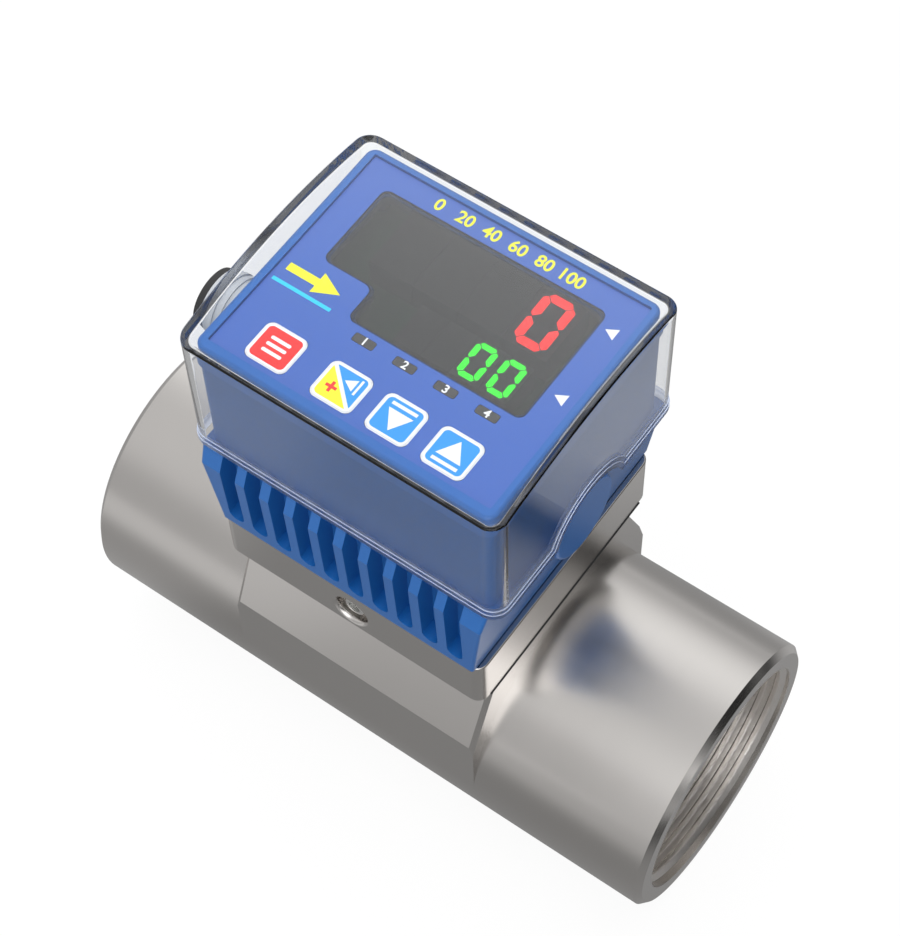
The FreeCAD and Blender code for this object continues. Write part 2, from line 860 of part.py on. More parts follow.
def make_flange_screws():
    head_top = flange_top - s.flange_screw_sink
    head_bottom = head_top - s.flange_screw_head_height
    foot = s.block_top_height - s.flange_screw_depth
    body = pegs("flange_screws", flange_screw_places, s.flange_screw_diameter / 2, foot, head_bottom - foot)
    sketch = sketch_on(body, "XY_Plane", head_bottom)
    for x, y in flange_screw_places:
        ring(sketch, s.flange_screw_head / 2, x, y)
    pad(body, sketch, s.flange_screw_head_height)
    return body


def make_lock_screw():
    """Set screw from the front, with a dog point that runs in the spigot's groove."""
    body = piece("lock_screw")
    outer_end = s.flange_depth / 2 - s.lock_screw_recess
    shank_end = s.spigot_diameter / 2 + s.lock_tip_gap
    tip_end = spigot_radius - s.spigot_groove_depth + s.lock_tip_gap
    for radius, near in ((s.lock_screw_diameter / 2, shank_end), (s.lock_screw_tip / 2, tip_end)):
        sketch = sketch_on(body, "XZ_Plane", near)
        ring(sketch, radius, zero, lock_z)
        pad(body, sketch, outer_end - near)
    return body


# swivel


def make_swivel_washer():
    margin = s.washer_inset * 2
    body = slab("swivel_washer", s.case_foot_length - margin, s.case_foot_depth - margin, flange_top,
                s.washer_thickness, corner=s.case_corner)
    holes_down(body, case_bottom, s.washer_thickness, on_axis, s.spigot_diameter / 2)
    return body


spigot_seal_z = lock_z + s.spigot_groove_width / 2 + s.spigot_seal_rise
spigot_screw_circle = spigot_radius + s.spigot_collar / 2
spigot_screw_places = [(spigot_screw_circle, zero), (zero, spigot_screw_circle),
                       (-spigot_screw_circle, zero), (zero, -spigot_screw_circle)]


def make_swivel_spigot():
    groove = spigot_radius - s.spigot_groove_depth
    seal_floor = spigot_radius - s.spigot_seal_section
    seal_half = s.spigot_seal_groove / 2
    groove_half = s.spigot_groove_width / 2
    collar_top = case_floor_top + s.spigot_collar_thickness
    body = turned_about_z("swivel_spigot", [
        (spigot_bore, spigot_bottom),
        (spigot_radius, spigot_bottom),
        (spigot_radius, lock_z - groove_half),
        (groove, lock_z - groove_half),
        (groove, lock_z + groove_half),
        (spigot_radius, lock_z + groove_half),
        (spigot_radius, spigot_seal_z - seal_half),
        (seal_floor, spigot_seal_z - seal_half),
        (seal_floor, spigot_seal_z + seal_half),
        (spigot_radius, spigot_seal_z + seal_half),
        (spigot_radius, case_floor_top),
        (spigot_radius + s.spigot_collar, case_floor_top),
        (spigot_radius + s.spigot_collar, collar_top),
        (spigot_bore, collar_top),
    ])
    holes_down(body, collar_top, s.spigot_collar_thickness, spigot_screw_places,
               s.spigot_screw_diameter / 2 + s.screw_clearance)
    return body


def make_spigot_seal():
    body = piece("spigot_seal")
    sketch = sketch_on(body, "XZ_Plane")
    section = s.spigot_seal_section / 2 - s.seal_squeeze
    ring(sketch, section, spigot_radius - section, spigot_seal_z)
    revolve(body, sketch)
    return body


def make_spigot_screws():
    head_bottom = case_floor_top + s.spigot_collar_thickness
    foot = case_bottom + s.spigot_screw_floor
    body = pegs("spigot_screws", spigot_screw_places, s.spigot_screw_diameter / 2, foot, head_bottom - foot)
    sketch = sketch_on(body, "XY_Plane", head_bottom)
    for x, y in spigot_screw_places:
        ring(sketch, s.spigot_screw_head / 2, x, y)
    pad(body, sketch, s.spigot_screw_head_height)
    return body


# finned case


def loft_between(body, lower, upper):
    """A straight-sided loft between two rectangles, each given as length, depth and height."""
    sections = []
    for length, depth, height in (lower, upper):
        sketch = sketch_on(body, "XY_Plane", height)
        rectangle(sketch, length, depth)
        sections.append(sketch)
    loft = body.newObject("PartDesign::AdditiveLoft", f"{body.Name}_loft")
    loft.Profile = sections[0]
    loft.Sections = [sections[1]]
    loft.Ruled = True
    return loft


def slot_outline(sketch):
    """The first cooling slot: round at its foot and open at the ledge."""
    radius = s.slot_width / 2
    centre_x = -s.slot_pitch * (s.slot_count - 1) / 2
    foot_z = case_bottom + s.slot_foot + radius
    left, right = centre_x - radius, centre_x + radius
    corners = [(right, foot_z), (right, ledge_z), (left, ledge_z), (left, foot_z)]
    points = [FreeCAD.Vector(float(x), float(y), 0) for x, y in corners]
    lowest = FreeCAD.Vector(float(centre_x), float(foot_z - radius), 0)
    lines = [sketch.addGeometry(Part.LineSegment(a, b), False) for a, b in zip(points, points[1:])]
    arc = sketch.addGeometry(Part.Arc(points[-1], lowest, points[0]), False)
    sketch.addConstraint(Sketcher.Constraint("Coincident", lines[0], 2, lines[1], 1))
    sketch.addConstraint(Sketcher.Constraint("Coincident", lines[1], 2, lines[2], 1))
    sketch.addConstraint(Sketcher.Constraint("Coincident", lines[2], 2, arc, 1))
    sketch.addConstraint(Sketcher.Constraint("Coincident", arc, 2, lines[0], 1))
    ends = [(lines[0], 1), (lines[1], 1), (lines[2], 1), (lines[2], 2)]
    for (line, end), (x, y) in zip(ends, corners):
        tie(sketch, "DistanceX", line, end, x)
        tie(sketch, "DistanceY", line, end, y)
    tie(sketch, "DistanceY", arc, 3, foot_z)


def leaning(edge):
    """True for an edge that leans along both X and Y, as the corners of the lower case do."""
    box = edge.BoundBox
    return min(box.XLength, box.YLength, box.ZLength) > 1e-3


def make_housing():
    body = piece("housing")
    foot = (s.case_foot_length, s.case_foot_depth, case_bottom)
    ridge = (s.case_ridge_length, s.case_ridge_depth, ridge_z)
    ledge = (s.case_ledge_length, s.case_ledge_depth, ledge_z)
    loft_between(body, foot, ridge)
    loft_between(body, ridge, ledge)
    sketch = sketch_on(body, "XY_Plane", ledge_z)
    rectangle(sketch, s.case_length, s.case_depth)
    pad(body, sketch, case_top - ledge_z)
    soften(body, "Fillet", s.case_corner, upright)
    soften(body, "Fillet", s.case_edge, leaning)

    # cooling slots, front and back, cut in to the plane of the upper wall
    proud = s.case_ridge_depth / 2 + s.case_wall
    for sign in (1, -1):
        sketch = sketch_on(body, "XZ_Plane", proud * sign)
        slot_outline(sketch)
        slot = pocket(body, sketch, proud - s.case_depth / 2, reverse=sign < 0)
        doc.recompute()
        row = body.newObject("PartDesign::LinearPattern", "slot_row")
        row.Originals = [slot]
        row.Direction = (sketch, ["H_Axis"])
        row.setExpression("Length", (s.slot_pitch * (s.slot_count - 1)).text)
        row.setExpression("Occurrences", s.slot_count.text)
        body.Tip = row

    # round hubs on both ends, for the cable glands
    sketch = sketch_on(body, "YZ_Plane")
    ring(sketch, s.hub_diameter / 2, zero, hub_z)
    pad(body, sketch, s.hub_reach * 2, both=True)
    hub_radius = s.hub_diameter / 2
    soften(body, "Fillet", s.hub_round, lambda edge: round_at(edge, hub_radius))

    # hollow inside, narrower behind the slots
    for wall, bottom in ((s.case_wall, ledge_z), (s.case_lower_wall, case_floor_top)):
        sketch = sketch_on(body, "XY_Plane", case_top)
        rectangle(sketch, s.case_length - wall * 2, s.case_depth - wall * 2)
        pocket(body, sketch, case_top - bottom)
    holes_down(body, case_floor_top, s.case_floor, on_axis, s.spigot_diameter / 2)
    holes_down(body, case_floor_top, s.case_floor - s.spigot_screw_floor + s.screw_clearance,
               spigot_screw_places, s.spigot_screw_diameter / 2 + s.screw_clearance / 2)
    sketch = sketch_on(body, "YZ_Plane", -s.hub_reach)
    ring(sketch, s.gland_thread_diameter / 2 + s.gland_thread_gap, zero, hub_z)
    pocket(body, sketch, s.hub_reach - s.gland_locknut_width / 2, reverse=True)
    return body


# bezel, panel and keys


key_places = {
    "key_set": first_key_x,
    "key_shift": last_key_x - key_pitch * 2,
    "key_down": last_key_x - key_pitch,
    "key_up": last_key_x,
}
lozenge_places = [window_end - s.lozenge_end_margin - s.lozenge_pitch * i for i in range(4)]
boss_places = corners_at(board_length - s.boss_inset * 2, board_depth - s.boss_inset * 2)


def window_corners(inset):
    """The window: a rectangle with a step out of its front left corner."""
    right, left = window_end - inset, inset - window_end
    back, front = window_back - inset, window_front + inset
    step_x = left + s.window_notch_length
    step_y = front + s.window_notch_depth
    return [(right, back), (left, back), (left, step_y), (step_x, step_y), (step_x, front), (right, front)]


def rectangle_corners(length, depth, x, y):
    half_length, half_depth = length / 2, depth / 2
    return [(x - half_length, y - half_depth), (x + half_length, y - half_depth),
            (x + half_length, y + half_depth), (x - half_length, y + half_depth)]


def key_corners(x, gap):
    return rectangle_corners(s.key_length + gap * 2, s.key_depth + gap * 2, x, s.key_row_y)


def lozenge_corners(x, gap):
    return rectangle_corners(s.lozenge_length + gap * 2, s.lozenge_depth + gap * 2, x, s.lozenge_y)


def soften_at(body, radius, corners):
    """Round the upright edges that stand at the given corners."""
    spots = [(float(x), float(y)) for x, y in corners]

    def at_a_corner(edge):
        centre = edge.BoundBox.Center
        return upright(edge) and any(math.hypot(centre.x - x, centre.y - y) < 1e-4 for x, y in spots)

    return soften(body, "Fillet", radius, at_a_corner)


def openings_down(body, top, depth, holes, radius):
    """Cut straight-sided openings downwards and round their corners."""
    sketch = sketch_on(body, "XY_Plane", top)
    for hole in holes:
        outline(sketch, hole)
    pocket(body, sketch, depth)
    soften_at(body, radius, [corner for hole in holes for corner in hole])


def make_bezel_frame():
    body = slab("bezel_frame", s.bezel_length, s.bezel_depth, bezel_bottom, s.bezel_height,
                corner=s.bezel_corner)

    def on_top(edge):
        return abs(edge.BoundBox.ZMin - float(bezel_top)) < 1e-6

    soften(body, "Fillet", s.bezel_round, on_top)
    recess = rectangle_corners(s.panel_length + s.panel_gap * 2, s.panel_depth + s.panel_gap * 2,
                               zero, s.panel_centre_y)
    openings_down(body, bezel_top, s.rim_height, [recess], s.panel_corner)
    sketch = sketch_on(body, "XY_Plane", bezel_bottom)
    rectangle(sketch, s.bezel_length - s.bezel_wall * 2, s.bezel_depth - s.bezel_wall * 2)
    pocket(body, sketch, plate_bottom - bezel_bottom, reverse=True)
    # skirt that drops inside the case's mouth
    sketch = sketch_on(body, "XY_Plane", bezel_bottom)
    mouth = (s.case_wall + s.skirt_gap) * 2
    rectangle(sketch, s.case_length - mouth, s.case_depth - mouth)
    rectangle(sketch, s.bezel_length - s.bezel_wall * 2, s.bezel_depth - s.bezel_wall * 2)
    pad(body, sketch, s.skirt_depth, reverse=True)
    # bosses that carry the display board
    sketch = sketch_on(body, "XY_Plane", plate_bottom)
    for x, y in boss_places:
        ring(sketch, s.boss_diameter / 2, x, y)
    pad(body, sketch, s.board_drop, reverse=True)
    sketch = sketch_on(body, "XY_Plane", board_top)
    for x, y in boss_places:
        ring(sketch, s.board_screw_diameter / 2 + s.screw_clearance / 2, x, y)
    pocket(body, sketch, s.stud_reach + s.screw_clearance, reverse=True)
    # openings in the front plate
    openings_down(body, panel_floor, s.plate_thickness, [window_corners(s.window_ledge)], s.window_corner)
    openings_down(body, panel_floor, s.plate_thickness,
                  [key_corners(x, s.key_gap) for x in key_places.values()], s.key_corner)
    openings_down(body, panel_floor, s.plate_thickness,
                  [lozenge_corners(x, -s.lozenge_ledge) for x in lozenge_places], s.lozenge_ledge)
    return body


def make_bezel_seal():
    body = piece("bezel_seal")
    sketch = sketch_on(body, "XY_Plane", case_top)
    margin = s.bezel_seal_inset * 2
    rectangle(sketch, s.case_length - margin, s.case_depth - margin)
    rectangle(sketch, s.case_length - s.case_wall * 2, s.case_depth - s.case_wall * 2)
    pad(body, sketch, s.bezel_seal)
    return body


def make_membrane_panel():
    body = slab("membrane_panel", s.panel_length, s.panel_depth, panel_floor, s.panel_thickness,
                zero, s.panel_centre_y, corner=s.panel_corner)
    openings_down(body, panel_top, s.panel_thickness, [window_corners(zero)], s.window_corner)
    openings_down(body, panel_top, s.panel_thickness,
                  [key_corners(x, s.key_gap) for x in key_places.values()], s.key_corner)
    openings_down(body, panel_top, s.panel_thickness,
                  [lozenge_corners(x, zero) for x in lozenge_places], s.lozenge_ledge)
    return body


def make_display_window():
    body = piece("display_window")
    sketch = sketch_on(body, "XY_Plane", panel_floor)
    outline(sketch, window_corners(s.panel_gap))
    pad(body, sketch, s.panel_thickness)
    soften(body, "Fillet", s.window_corner, upright)
    return body


def make_indicator_lenses():
    body = piece("indicator_lenses")
    sketch = sketch_on(body, "XY_Plane", panel_floor)
    for x in lozenge_places:
        outline(sketch, lozenge_corners(x, -s.panel_gap))
    pad(body, sketch, s.panel_thickness)
    soften(body, "Fillet", s.lozenge_ledge, upright)
    return body


def make_key(name, x):
    """A cap that stands in the panel, with a flange under the plate and a stem over its switch."""
    cap_top = panel_top + s.key_proud
    body = slab(name, s.key_length, s.key_depth, key_flange_top, cap_top - key_flange_top, x, s.key_row_y,
                corner=s.key_corner)

    def on_top(edge):
        return abs(edge.BoundBox.ZMin - float(cap_top)) < 1e-6

    soften(body, "Fillet", s.key_proud, on_top)
    sketch = sketch_on(body, "XY_Plane", key_flange_top)
    outline(sketch, key_corners(x, s.key_flange))
    pad(body, sketch, s.key_flange_thickness, reverse=True)
    sketch = sketch_on(body, "XY_Plane", key_stem_bottom)
    ring(sketch, s.key_stem_diameter / 2, x, s.key_row_y)
    pad(body, sketch, s.key_stem_length + s.key_flange_thickness)
    return body


# boards


def boxes(name, places, length, depth, bottom, height):
    """A group of equal upright blocks, one solid each."""
    body = piece(name)
    sketch = sketch_on(body, "XY_Plane", bottom)
    for x, y in places:
        rectangle(sketch, length, depth, x, y)
    pad(body, sketch, height)
    return body


def make_board(name, bottom):
    body = slab(name, board_length, board_depth, bottom, s.board_thickness, corner=s.board_corner)
    holes_down(body, bottom + s.board_thickness, s.board_thickness, boss_places,
               s.board_screw_diameter / 2 + s.screw_clearance)
    return body


def digit_places(last_x, width, count, row_y):
    return [(last_x - width * i, row_y) for i in range(count)]


def make_red_digits():
    places = digit_places(s.red_last_x, s.red_digit_width, numbers["red_digit_count"], s.red_row_y)
    return boxes("red_digits", places, s.red_digit_width - s.digit_gap, s.red_digit_depth,
                 board_top, s.red_digit_height)


def make_green_digits():
    places = digit_places(s.green_last_x, s.green_digit_width, numbers["green_digit_count"], s.green_row_y)
    return boxes("green_digits", places, s.green_digit_width - s.digit_gap, s.green_digit_depth,
                 board_top, s.green_digit_height)


def make_key_switches():
    places = [(x, s.key_row_y) for x in key_places.values()]
    body = boxes("key_switches", places, s.switch_side, s.switch_side, board_top, s.switch_height)
    plunger_top = key_stem_bottom - s.key_travel - s.key_end_gap
    sketch = sketch_on(body, "XY_Plane", board_top)
    for x, y in places:
        ring(sketch, s.key_stem_diameter / 2, x, y)
    pad(body, sketch, plunger_top - board_top)
    return body


def make_board_standoffs():
    """Hexagon pillars under the display board, each with a stud up into its boss."""
    body = piece("board_standoffs")
    sketch = sketch_on(body, "XY_Plane", power_board_top)
    for x, y in boss_places:
        hexagon(sketch, s.standoff_width, x, y)
    pad(body, sketch, s.standoff_height)
    sketch = sketch_on(body, "XY_Plane", board_bottom)
    for x, y in boss_places:
        ring(sketch, s.board_screw_diameter / 2, x, y)
    pad(body, sketch, s.board_thickness + s.stud_reach)
    sketch = sketch_on(body, "XY_Plane", power_board_top)
    for x, y in boss_places:
        ring(sketch, s.board_screw_diameter / 2 + s.screw_clearance / 2, x, y)
    pocket(body, sketch, s.board_screw_depth + s.screw_clearance, reverse=True)
    return body


def make_board_screws():
    head_bottom = power_board_bottom - s.board_screw_head_height
    body = pegs("board_screws", boss_places, s.board_screw_head / 2, head_bottom, s.board_screw_head_height)
    sketch = sketch_on(body, "XY_Plane", power_board_bottom)
    for x, y in boss_places:
        ring(sketch, s.board_screw_diameter / 2, x, y)
    pad(body, sketch, s.board_thickness + s.board_screw_depth)
    return body


def make_terminal_block():
    """Screw terminals under the power board, with their wire entries towards the gland."""
    bottom = power_board_bottom - s.terminal_height
    entry_face = wall_inside + s.terminal_wall_gap
    middle = entry_face + s.terminal_length / 2
    body = slab("terminal_block", s.terminal_length, s.terminal_depth, bottom, s.terminal_height, middle)
    way = s.terminal_depth / s.terminal_ways
    first = way / 2 - s.terminal_depth / 2
    ways = [first + way * i for i in range(numbers["terminal_ways"])]
    sketch = sketch_on(body, "YZ_Plane", entry_face)
    for y in ways:
        rectangle(sketch, s.terminal_entry, s.terminal_entry, y, bottom + s.terminal_entry_rise)
    pocket(body, sketch, s.terminal_entry_depth, reverse=True)
    sketch = sketch_on(body, "XY_Plane", bottom)
    for y in ways:
        ring(sketch, s.terminal_entry / 2, middle, y)
    pocket(body, sketch, s.terminal_screw_depth, reverse=True)
    return body


hall_board_bottom = cavity_floor + s.hall_board_lift
hall_board_top = hall_board_bottom + s.hall_board_thickness
socket_bottom = power_board_bottom - s.socket_height


def make_sensor_lead():
    """The lead between the boards, on the swivel's axis, with a plug at each end."""
    wire, plug = s.lead_diameter / 2, s.lead_plug_diameter / 2
    foot = hall_board_top + s.lead_end_gap
    return turned_about_z("sensor_lead", [
        (zero, foot),
        (plug, foot),
        (plug, foot + s.lead_plug_length),
        (wire, foot + s.lead_plug_length),
        (wire, socket_bottom - s.lead_plug_length),
        (plug, socket_bottom - s.lead_plug_length),
        (plug, socket_bottom),
        (zero, socket_bottom),
    ])


# cable gland, drawn about its own axis along X


def turned_about_x(name, profile):
    body = piece(name)
    sketch = sketch_on(body, "XZ_Plane")
    outline(sketch, profile)
    revolve(body, sketch, "H_Axis")
    return lifted(body, hub_z)


collar_end = -s.hub_reach - s.gland_collar_length
nut_end = collar_end - s.gland_nut_length
gland_thread_end = wall_inside + s.gland_locknut_thickness + s.gland_thread_proud


def make_gland_body():
    bore = s.gland_body_bore / 2
    outer = s.gland_outer_thread_diameter / 2
    thread_tip = collar_end - s.gland_outer_thread_length
    return turned_about_x("gland_body", [
        (thread_tip, bore),
        (gland_thread_end, bore),
        (gland_thread_end, s.gland_thread_diameter / 2),
        (-s.hub_reach, s.gland_thread_diameter / 2),
        (-s.hub_reach, s.gland_collar_diameter / 2),
        (collar_end, s.gland_collar_diameter / 2),
        (collar_end, outer),
        (thread_tip, outer),
    ])


def make_gland_nut():
    """Cap nut with grip ridges along its length."""
    thread = s.gland_outer_thread_diameter / 2 + s.gland_thread_gap
    mouth_bore = s.gland_body_bore / 2 + s.gland_thread_gap
    crest, mouth = s.gland_nut_diameter / 2, s.gland_nut_mouth / 2
    shoulder = collar_end - s.gland_outer_thread_length - s.gland_thread_gap
    valley = crest - s.gland_ridge_depth
    step = s.gland_grip_length / (numbers["gland_ridges"] * 2)
    profile = [(nut_end, mouth_bore), (shoulder, mouth_bore), (shoulder, thread), (collar_end, thread)]
    for i in range(numbers["gland_ridges"]):
        start = collar_end - step * (2 * i)
        middle = start - step
        profile += [(start, crest), (middle, crest), (middle, valley), (middle - step, valley)]
    profile.append((nut_end, mouth))
    return turned_about_x("gland_nut", profile)


def make_gland_seal():
    bore = s.gland_bore / 2
    sleeve = s.gland_body_bore / 2 - s.gland_thread_gap
    return turned_about_x("gland_seal", [
        (nut_end - s.gland_seal_length, bore),
        (collar_end, bore),
        (collar_end, sleeve),
        (nut_end, sleeve),
        (nut_end, s.gland_seal_diameter / 2),
        (nut_end - s.gland_seal_length, s.gland_seal_diameter / 2 - s.gland_seal_taper),
    ])


def make_gland_locknut():
    body = piece("gland_locknut")
    sketch = sketch_on(body, "YZ_Plane", wall_inside)
    hexagon(sketch, s.gland_locknut_width)
    ring(sketch, s.gland_thread_diameter / 2 + s.gland_thread_gap)
    pad(body, sketch, s.gland_locknut_thickness)
    return lifted(body, hub_z)


# clear cover


def crown_outline(sketch, depth, bottom, edge, crown):
    """A section across the cover: upright walls under a shallow arched top."""
    half = depth / 2
    radius = (half * half + crown * crown) / (crown * 2)
    corners = [(half, edge), (half, bottom), (-half, bottom), (-half, edge)]
    points = [FreeCAD.Vector(float(x), float(y), 0) for x, y in corners]
    lines = [sketch.addGeometry(Part.LineSegment(a, b), False) for a, b in zip(points, points[1:])]
    apex = FreeCAD.Vector(0, float(edge + crown), 0)
    arc = sketch.addGeometry(Part.Arc(points[0], apex, points[-1]), False)
    sketch.addConstraint(Sketcher.Constraint("Coincident", lines[0], 2, lines[1], 1))
    sketch.addConstraint(Sketcher.Constraint("Coincident", lines[1], 2, lines[2], 1))
    sketch.addConstraint(Sketcher.Constraint("Coincident", lines[2], 2, arc, 2))
    sketch.addConstraint(Sketcher.Constraint("Coincident", arc, 1, lines[0], 1))
    ends = [(lines[0], 1), (lines[1], 1), (lines[2], 1), (lines[2], 2)]
    for (line, end), (x, y) in zip(ends, corners):
        tie(sketch, "DistanceX", line, end, x)
        tie(sketch, "DistanceY", line, end, y)
    tie_radius(sketch, arc, radius)


def domed_block(name, length, depth, edge, crown, corner, rounding):
    body = piece(name)
    sketch = sketch_on(body, "YZ_Plane")
    crown_outline(sketch, depth, cover_bottom, edge, crown)
    pad(body, sketch, length, both=True)
    soften(body, "Fillet", corner, upright)

    def on_top(edge_found):
        box = edge_found.BoundBox
        return box.ZMin > float(edge) - 1e-6

    soften(body, "Fillet", rounding, on_top)
    return body


def lip_band(name, bottom, step):
    """One of the cover's two lips: a band round its foot and over both arches."""
    body = slab(f"{name}_band", s.cover_length + step * 2, s.cover_depth + step * 2, bottom, s.lip_height,
                corner=s.cover_corner + step)
    arch = piece(f"{name}_arch")
    sketch = sketch_on(arch, "YZ_Plane")
    ring(sketch, s.arch_diameter / 2 + (bottom - cover_bottom) + s.lip_height, zero, hub_z)
    pad(arch, sketch, s.cover_length + step * 2, both=True)
    keep = slab(f"{name}_keep", s.cover_length + step * 2, s.cover_depth, cover_bottom, s.cover_height)
    return combine("Fuse", name, body, combine("Common", f"{name}_arches", arch, keep))


def make_clear_cover():
    outside = domed_block("cover_outside", s.cover_length, s.cover_depth, cover_edge, s.cover_crown,
                          s.cover_corner, s.cover_round)
    walls = s.cover_wall * 2
    inside = domed_block("cover_inside", s.cover_length - walls, s.cover_depth - walls,
                         cover_edge - s.cover_top, s.cover_crown,
                         s.cover_corner - s.cover_wall, s.cover_round)
    lower_lip = lip_band("lower_lip", cover_bottom, s.lip_step)
    upper_lip = lip_band("upper_lip", cover_bottom + s.lip_height, s.lip_step / 2)
    with_lip = combine("Fuse", "cover_and_lip", outside, upper_lip)
    with_lips = combine("Fuse", "cover_and_lips", with_lip, lower_lip)
    shell = combine("Cut", "cover_shell", with_lips, inside)
    arches = piece("cover_arches")
    sketch = sketch_on(arches, "YZ_Plane")
    ring(sketch, s.arch_diameter / 2, zero, hub_z)
    pad(arches, sketch, s.cover_length + (s.lip_step + s.cover_wall) * 2, both=True)
    return combine("Cut", "clear_cover", shell, arches)


# the whole meter

nodes = [
    make_flow_body(),
    make_flange_gasket(),
    make_top_flange(),
    make_flange_screws(),
    make_lock_screw(),
    make_sensor_insert(),
    make_insert_seals(),
    along_y("rotor_pin", s.pin_diameter / 2, (ear_inner + s.ear_thickness) * 2, zero, s.rotor_height),
    pegs("hall_board", on_axis, s.insert_cavity_diameter / 2 - s.hall_board_gap, hall_board_bottom,
         s.hall_board_thickness),
    slab("hall_sensor", s.hall_chip_length, s.hall_chip_depth, cavity_floor, s.hall_board_lift),
    make_paddle_wheel(),
    make_rotor_bushings(),
    make_paddle_magnets(),
    make_swivel_washer(),
    make_swivel_spigot(),
    make_spigot_seal(),
    make_spigot_screws(),
    make_housing(),
    make_bezel_frame(),
    make_bezel_seal(),
    make_membrane_panel(),
    make_display_window(),
    make_indicator_lenses(),
    make_board("display_board", board_bottom),
    make_red_digits(),
    make_green_digits(),
    boxes("indicator_leds", [(x, s.lozenge_y) for x in lozenge_places], s.led_length, s.led_depth,
          board_top, s.led_height),
    make_key_switches(),
    make_board_standoffs(),
    make_board("power_board", power_board_bottom),
    make_board_screws(),
    make_terminal_block(),
    slab("lead_socket", s.socket_side, s.socket_side, socket_bottom, s.socket_height),
    make_sensor_lead(),
    make_gland_body(),
    make_gland_nut(),
    make_gland_seal(),
    make_gland_locknut(),
    make_clear_cover(),
] + [make_key(name, x) for name, x in key_places.items()]

for node in nodes:
    node.setExpression("Placement.Base.x", "sizes.body_length / 2")
doc.recompute()

faults = [thing.Name for thing in doc.Objects if {"Invalid", "Error"} & set(thing.State)]
faults += [node.Name for node in nodes if node.Shape.isNull() or not node.Shape.isValid()]
if faults:
    raise RuntimeError(f"these objects failed: {faults}")

os.makedirs("parts", exist_ok=True)
for node in nodes:
    node.Shape.exportStep(f"parts/{node.Label}.step")
    box = node.Shape.BoundBox
    print(node.Label, len(node.Shape.Solids), "solids", round(node.Shape.Volume), "mm3",
          f"z {box.ZMin:.1f} to {box.ZMax:.1f}")
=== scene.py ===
import math

import bpy
from mathutils import Matrix, Vector


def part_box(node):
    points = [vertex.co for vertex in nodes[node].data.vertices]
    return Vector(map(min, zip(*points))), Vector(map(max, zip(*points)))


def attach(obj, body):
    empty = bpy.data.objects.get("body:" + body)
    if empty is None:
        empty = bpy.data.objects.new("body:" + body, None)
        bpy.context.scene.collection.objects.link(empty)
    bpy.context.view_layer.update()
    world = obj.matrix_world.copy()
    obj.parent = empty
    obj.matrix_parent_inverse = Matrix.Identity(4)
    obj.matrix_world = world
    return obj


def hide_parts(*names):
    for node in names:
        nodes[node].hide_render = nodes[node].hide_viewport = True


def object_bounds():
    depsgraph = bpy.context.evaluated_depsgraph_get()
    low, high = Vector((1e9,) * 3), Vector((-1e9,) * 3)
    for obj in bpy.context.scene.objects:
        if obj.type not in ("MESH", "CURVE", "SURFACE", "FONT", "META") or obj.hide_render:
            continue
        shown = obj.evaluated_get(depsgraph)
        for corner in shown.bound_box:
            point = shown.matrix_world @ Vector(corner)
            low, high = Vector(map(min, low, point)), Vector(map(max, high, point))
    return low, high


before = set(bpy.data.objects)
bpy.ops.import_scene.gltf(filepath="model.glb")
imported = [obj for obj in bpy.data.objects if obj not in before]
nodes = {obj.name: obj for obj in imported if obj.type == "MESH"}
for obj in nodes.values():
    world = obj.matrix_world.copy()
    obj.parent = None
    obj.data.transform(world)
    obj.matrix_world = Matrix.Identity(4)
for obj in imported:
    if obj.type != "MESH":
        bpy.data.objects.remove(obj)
cadLow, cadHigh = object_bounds()  # the box of the solids, before any piece is added
mm = 0.001
bodyLow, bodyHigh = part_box("flow_body")
meterX = (bodyLow.x + bodyHigh.x) / 2  # the upright axis that the head swivels on
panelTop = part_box("membrane_panel")[1].z
print("frame loaded:", len(nodes), "nodes")


# camera

cameraSetup = {
    "azimuth": 37.552,
    "elevation": 58.838,
    "roll": -2.399,
    "distance": 0.6525,
    "aim": (-7.23, 15.10, 46.82),  # mm from the swivel axis and the pipe's axis
    "focal": 93.98,
    "sensor": 36,
    "clipStart": 0.01,
}


def viewAxes():
    azimuth = math.radians(cameraSetup["azimuth"])
    elevation = math.radians(cameraSetup["elevation"])
    flat = math.cos(elevation)
    back = Vector((math.sin(azimuth) * flat, -math.cos(azimuth) * flat, math.sin(elevation)))
    right = Vector((math.cos(azimuth), math.sin(azimuth), 0))
    right = Matrix.Rotation(math.radians(cameraSetup["roll"]), 3, back) @ right
    return right, back.cross(right), back


def placeCamera():
    right, up, back = viewAxes()
    aim = Vector(cameraSetup["aim"]) * mm + Vector((meterX, 0, 0))
    bpy.ops.object.camera_add()
    camera = bpy.context.object
    turn = Matrix((right, up, back)).transposed().to_4x4()
    camera.matrix_world = Matrix.Translation(aim + back * cameraSetup["distance"]) @ turn
    camera.data.sensor_fit = "VERTICAL"
    camera.data.sensor_height = cameraSetup["sensor"]
    camera.data.lens = cameraSetup["focal"]
    camera.data.clip_start = cameraSetup["clipStart"]
    bpy.context.scene.camera = camera


placeCamera()
print("camera placed")


# node helpers


def addNode(tree, kind, place=(0, 0), **settings):
    node = tree.nodes.new(kind)
    node.location = place
    for name, value in settings.items():
        setattr(node, name, value)
    return node


def link(tree, fromSocket, toSocket):
    tree.links.new(fromSocket, toSocket)


def newGroup(name, inputs, outputs):
    group = bpy.data.node_groups.new(name, "ShaderNodeTree")
    for socketName, kind, value in inputs:
        socket = group.interface.new_socket(socketName, in_out="INPUT", socket_type=kind)
        socket.default_value = value
    for socketName, kind in outputs:
        group.interface.new_socket(socketName, in_out="OUTPUT", socket_type=kind)
    entry = addNode(group, "NodeGroupInput", (-800, 0))
    leave = addNode(group, "NodeGroupOutput", (600, 0))
    return group, entry, leave


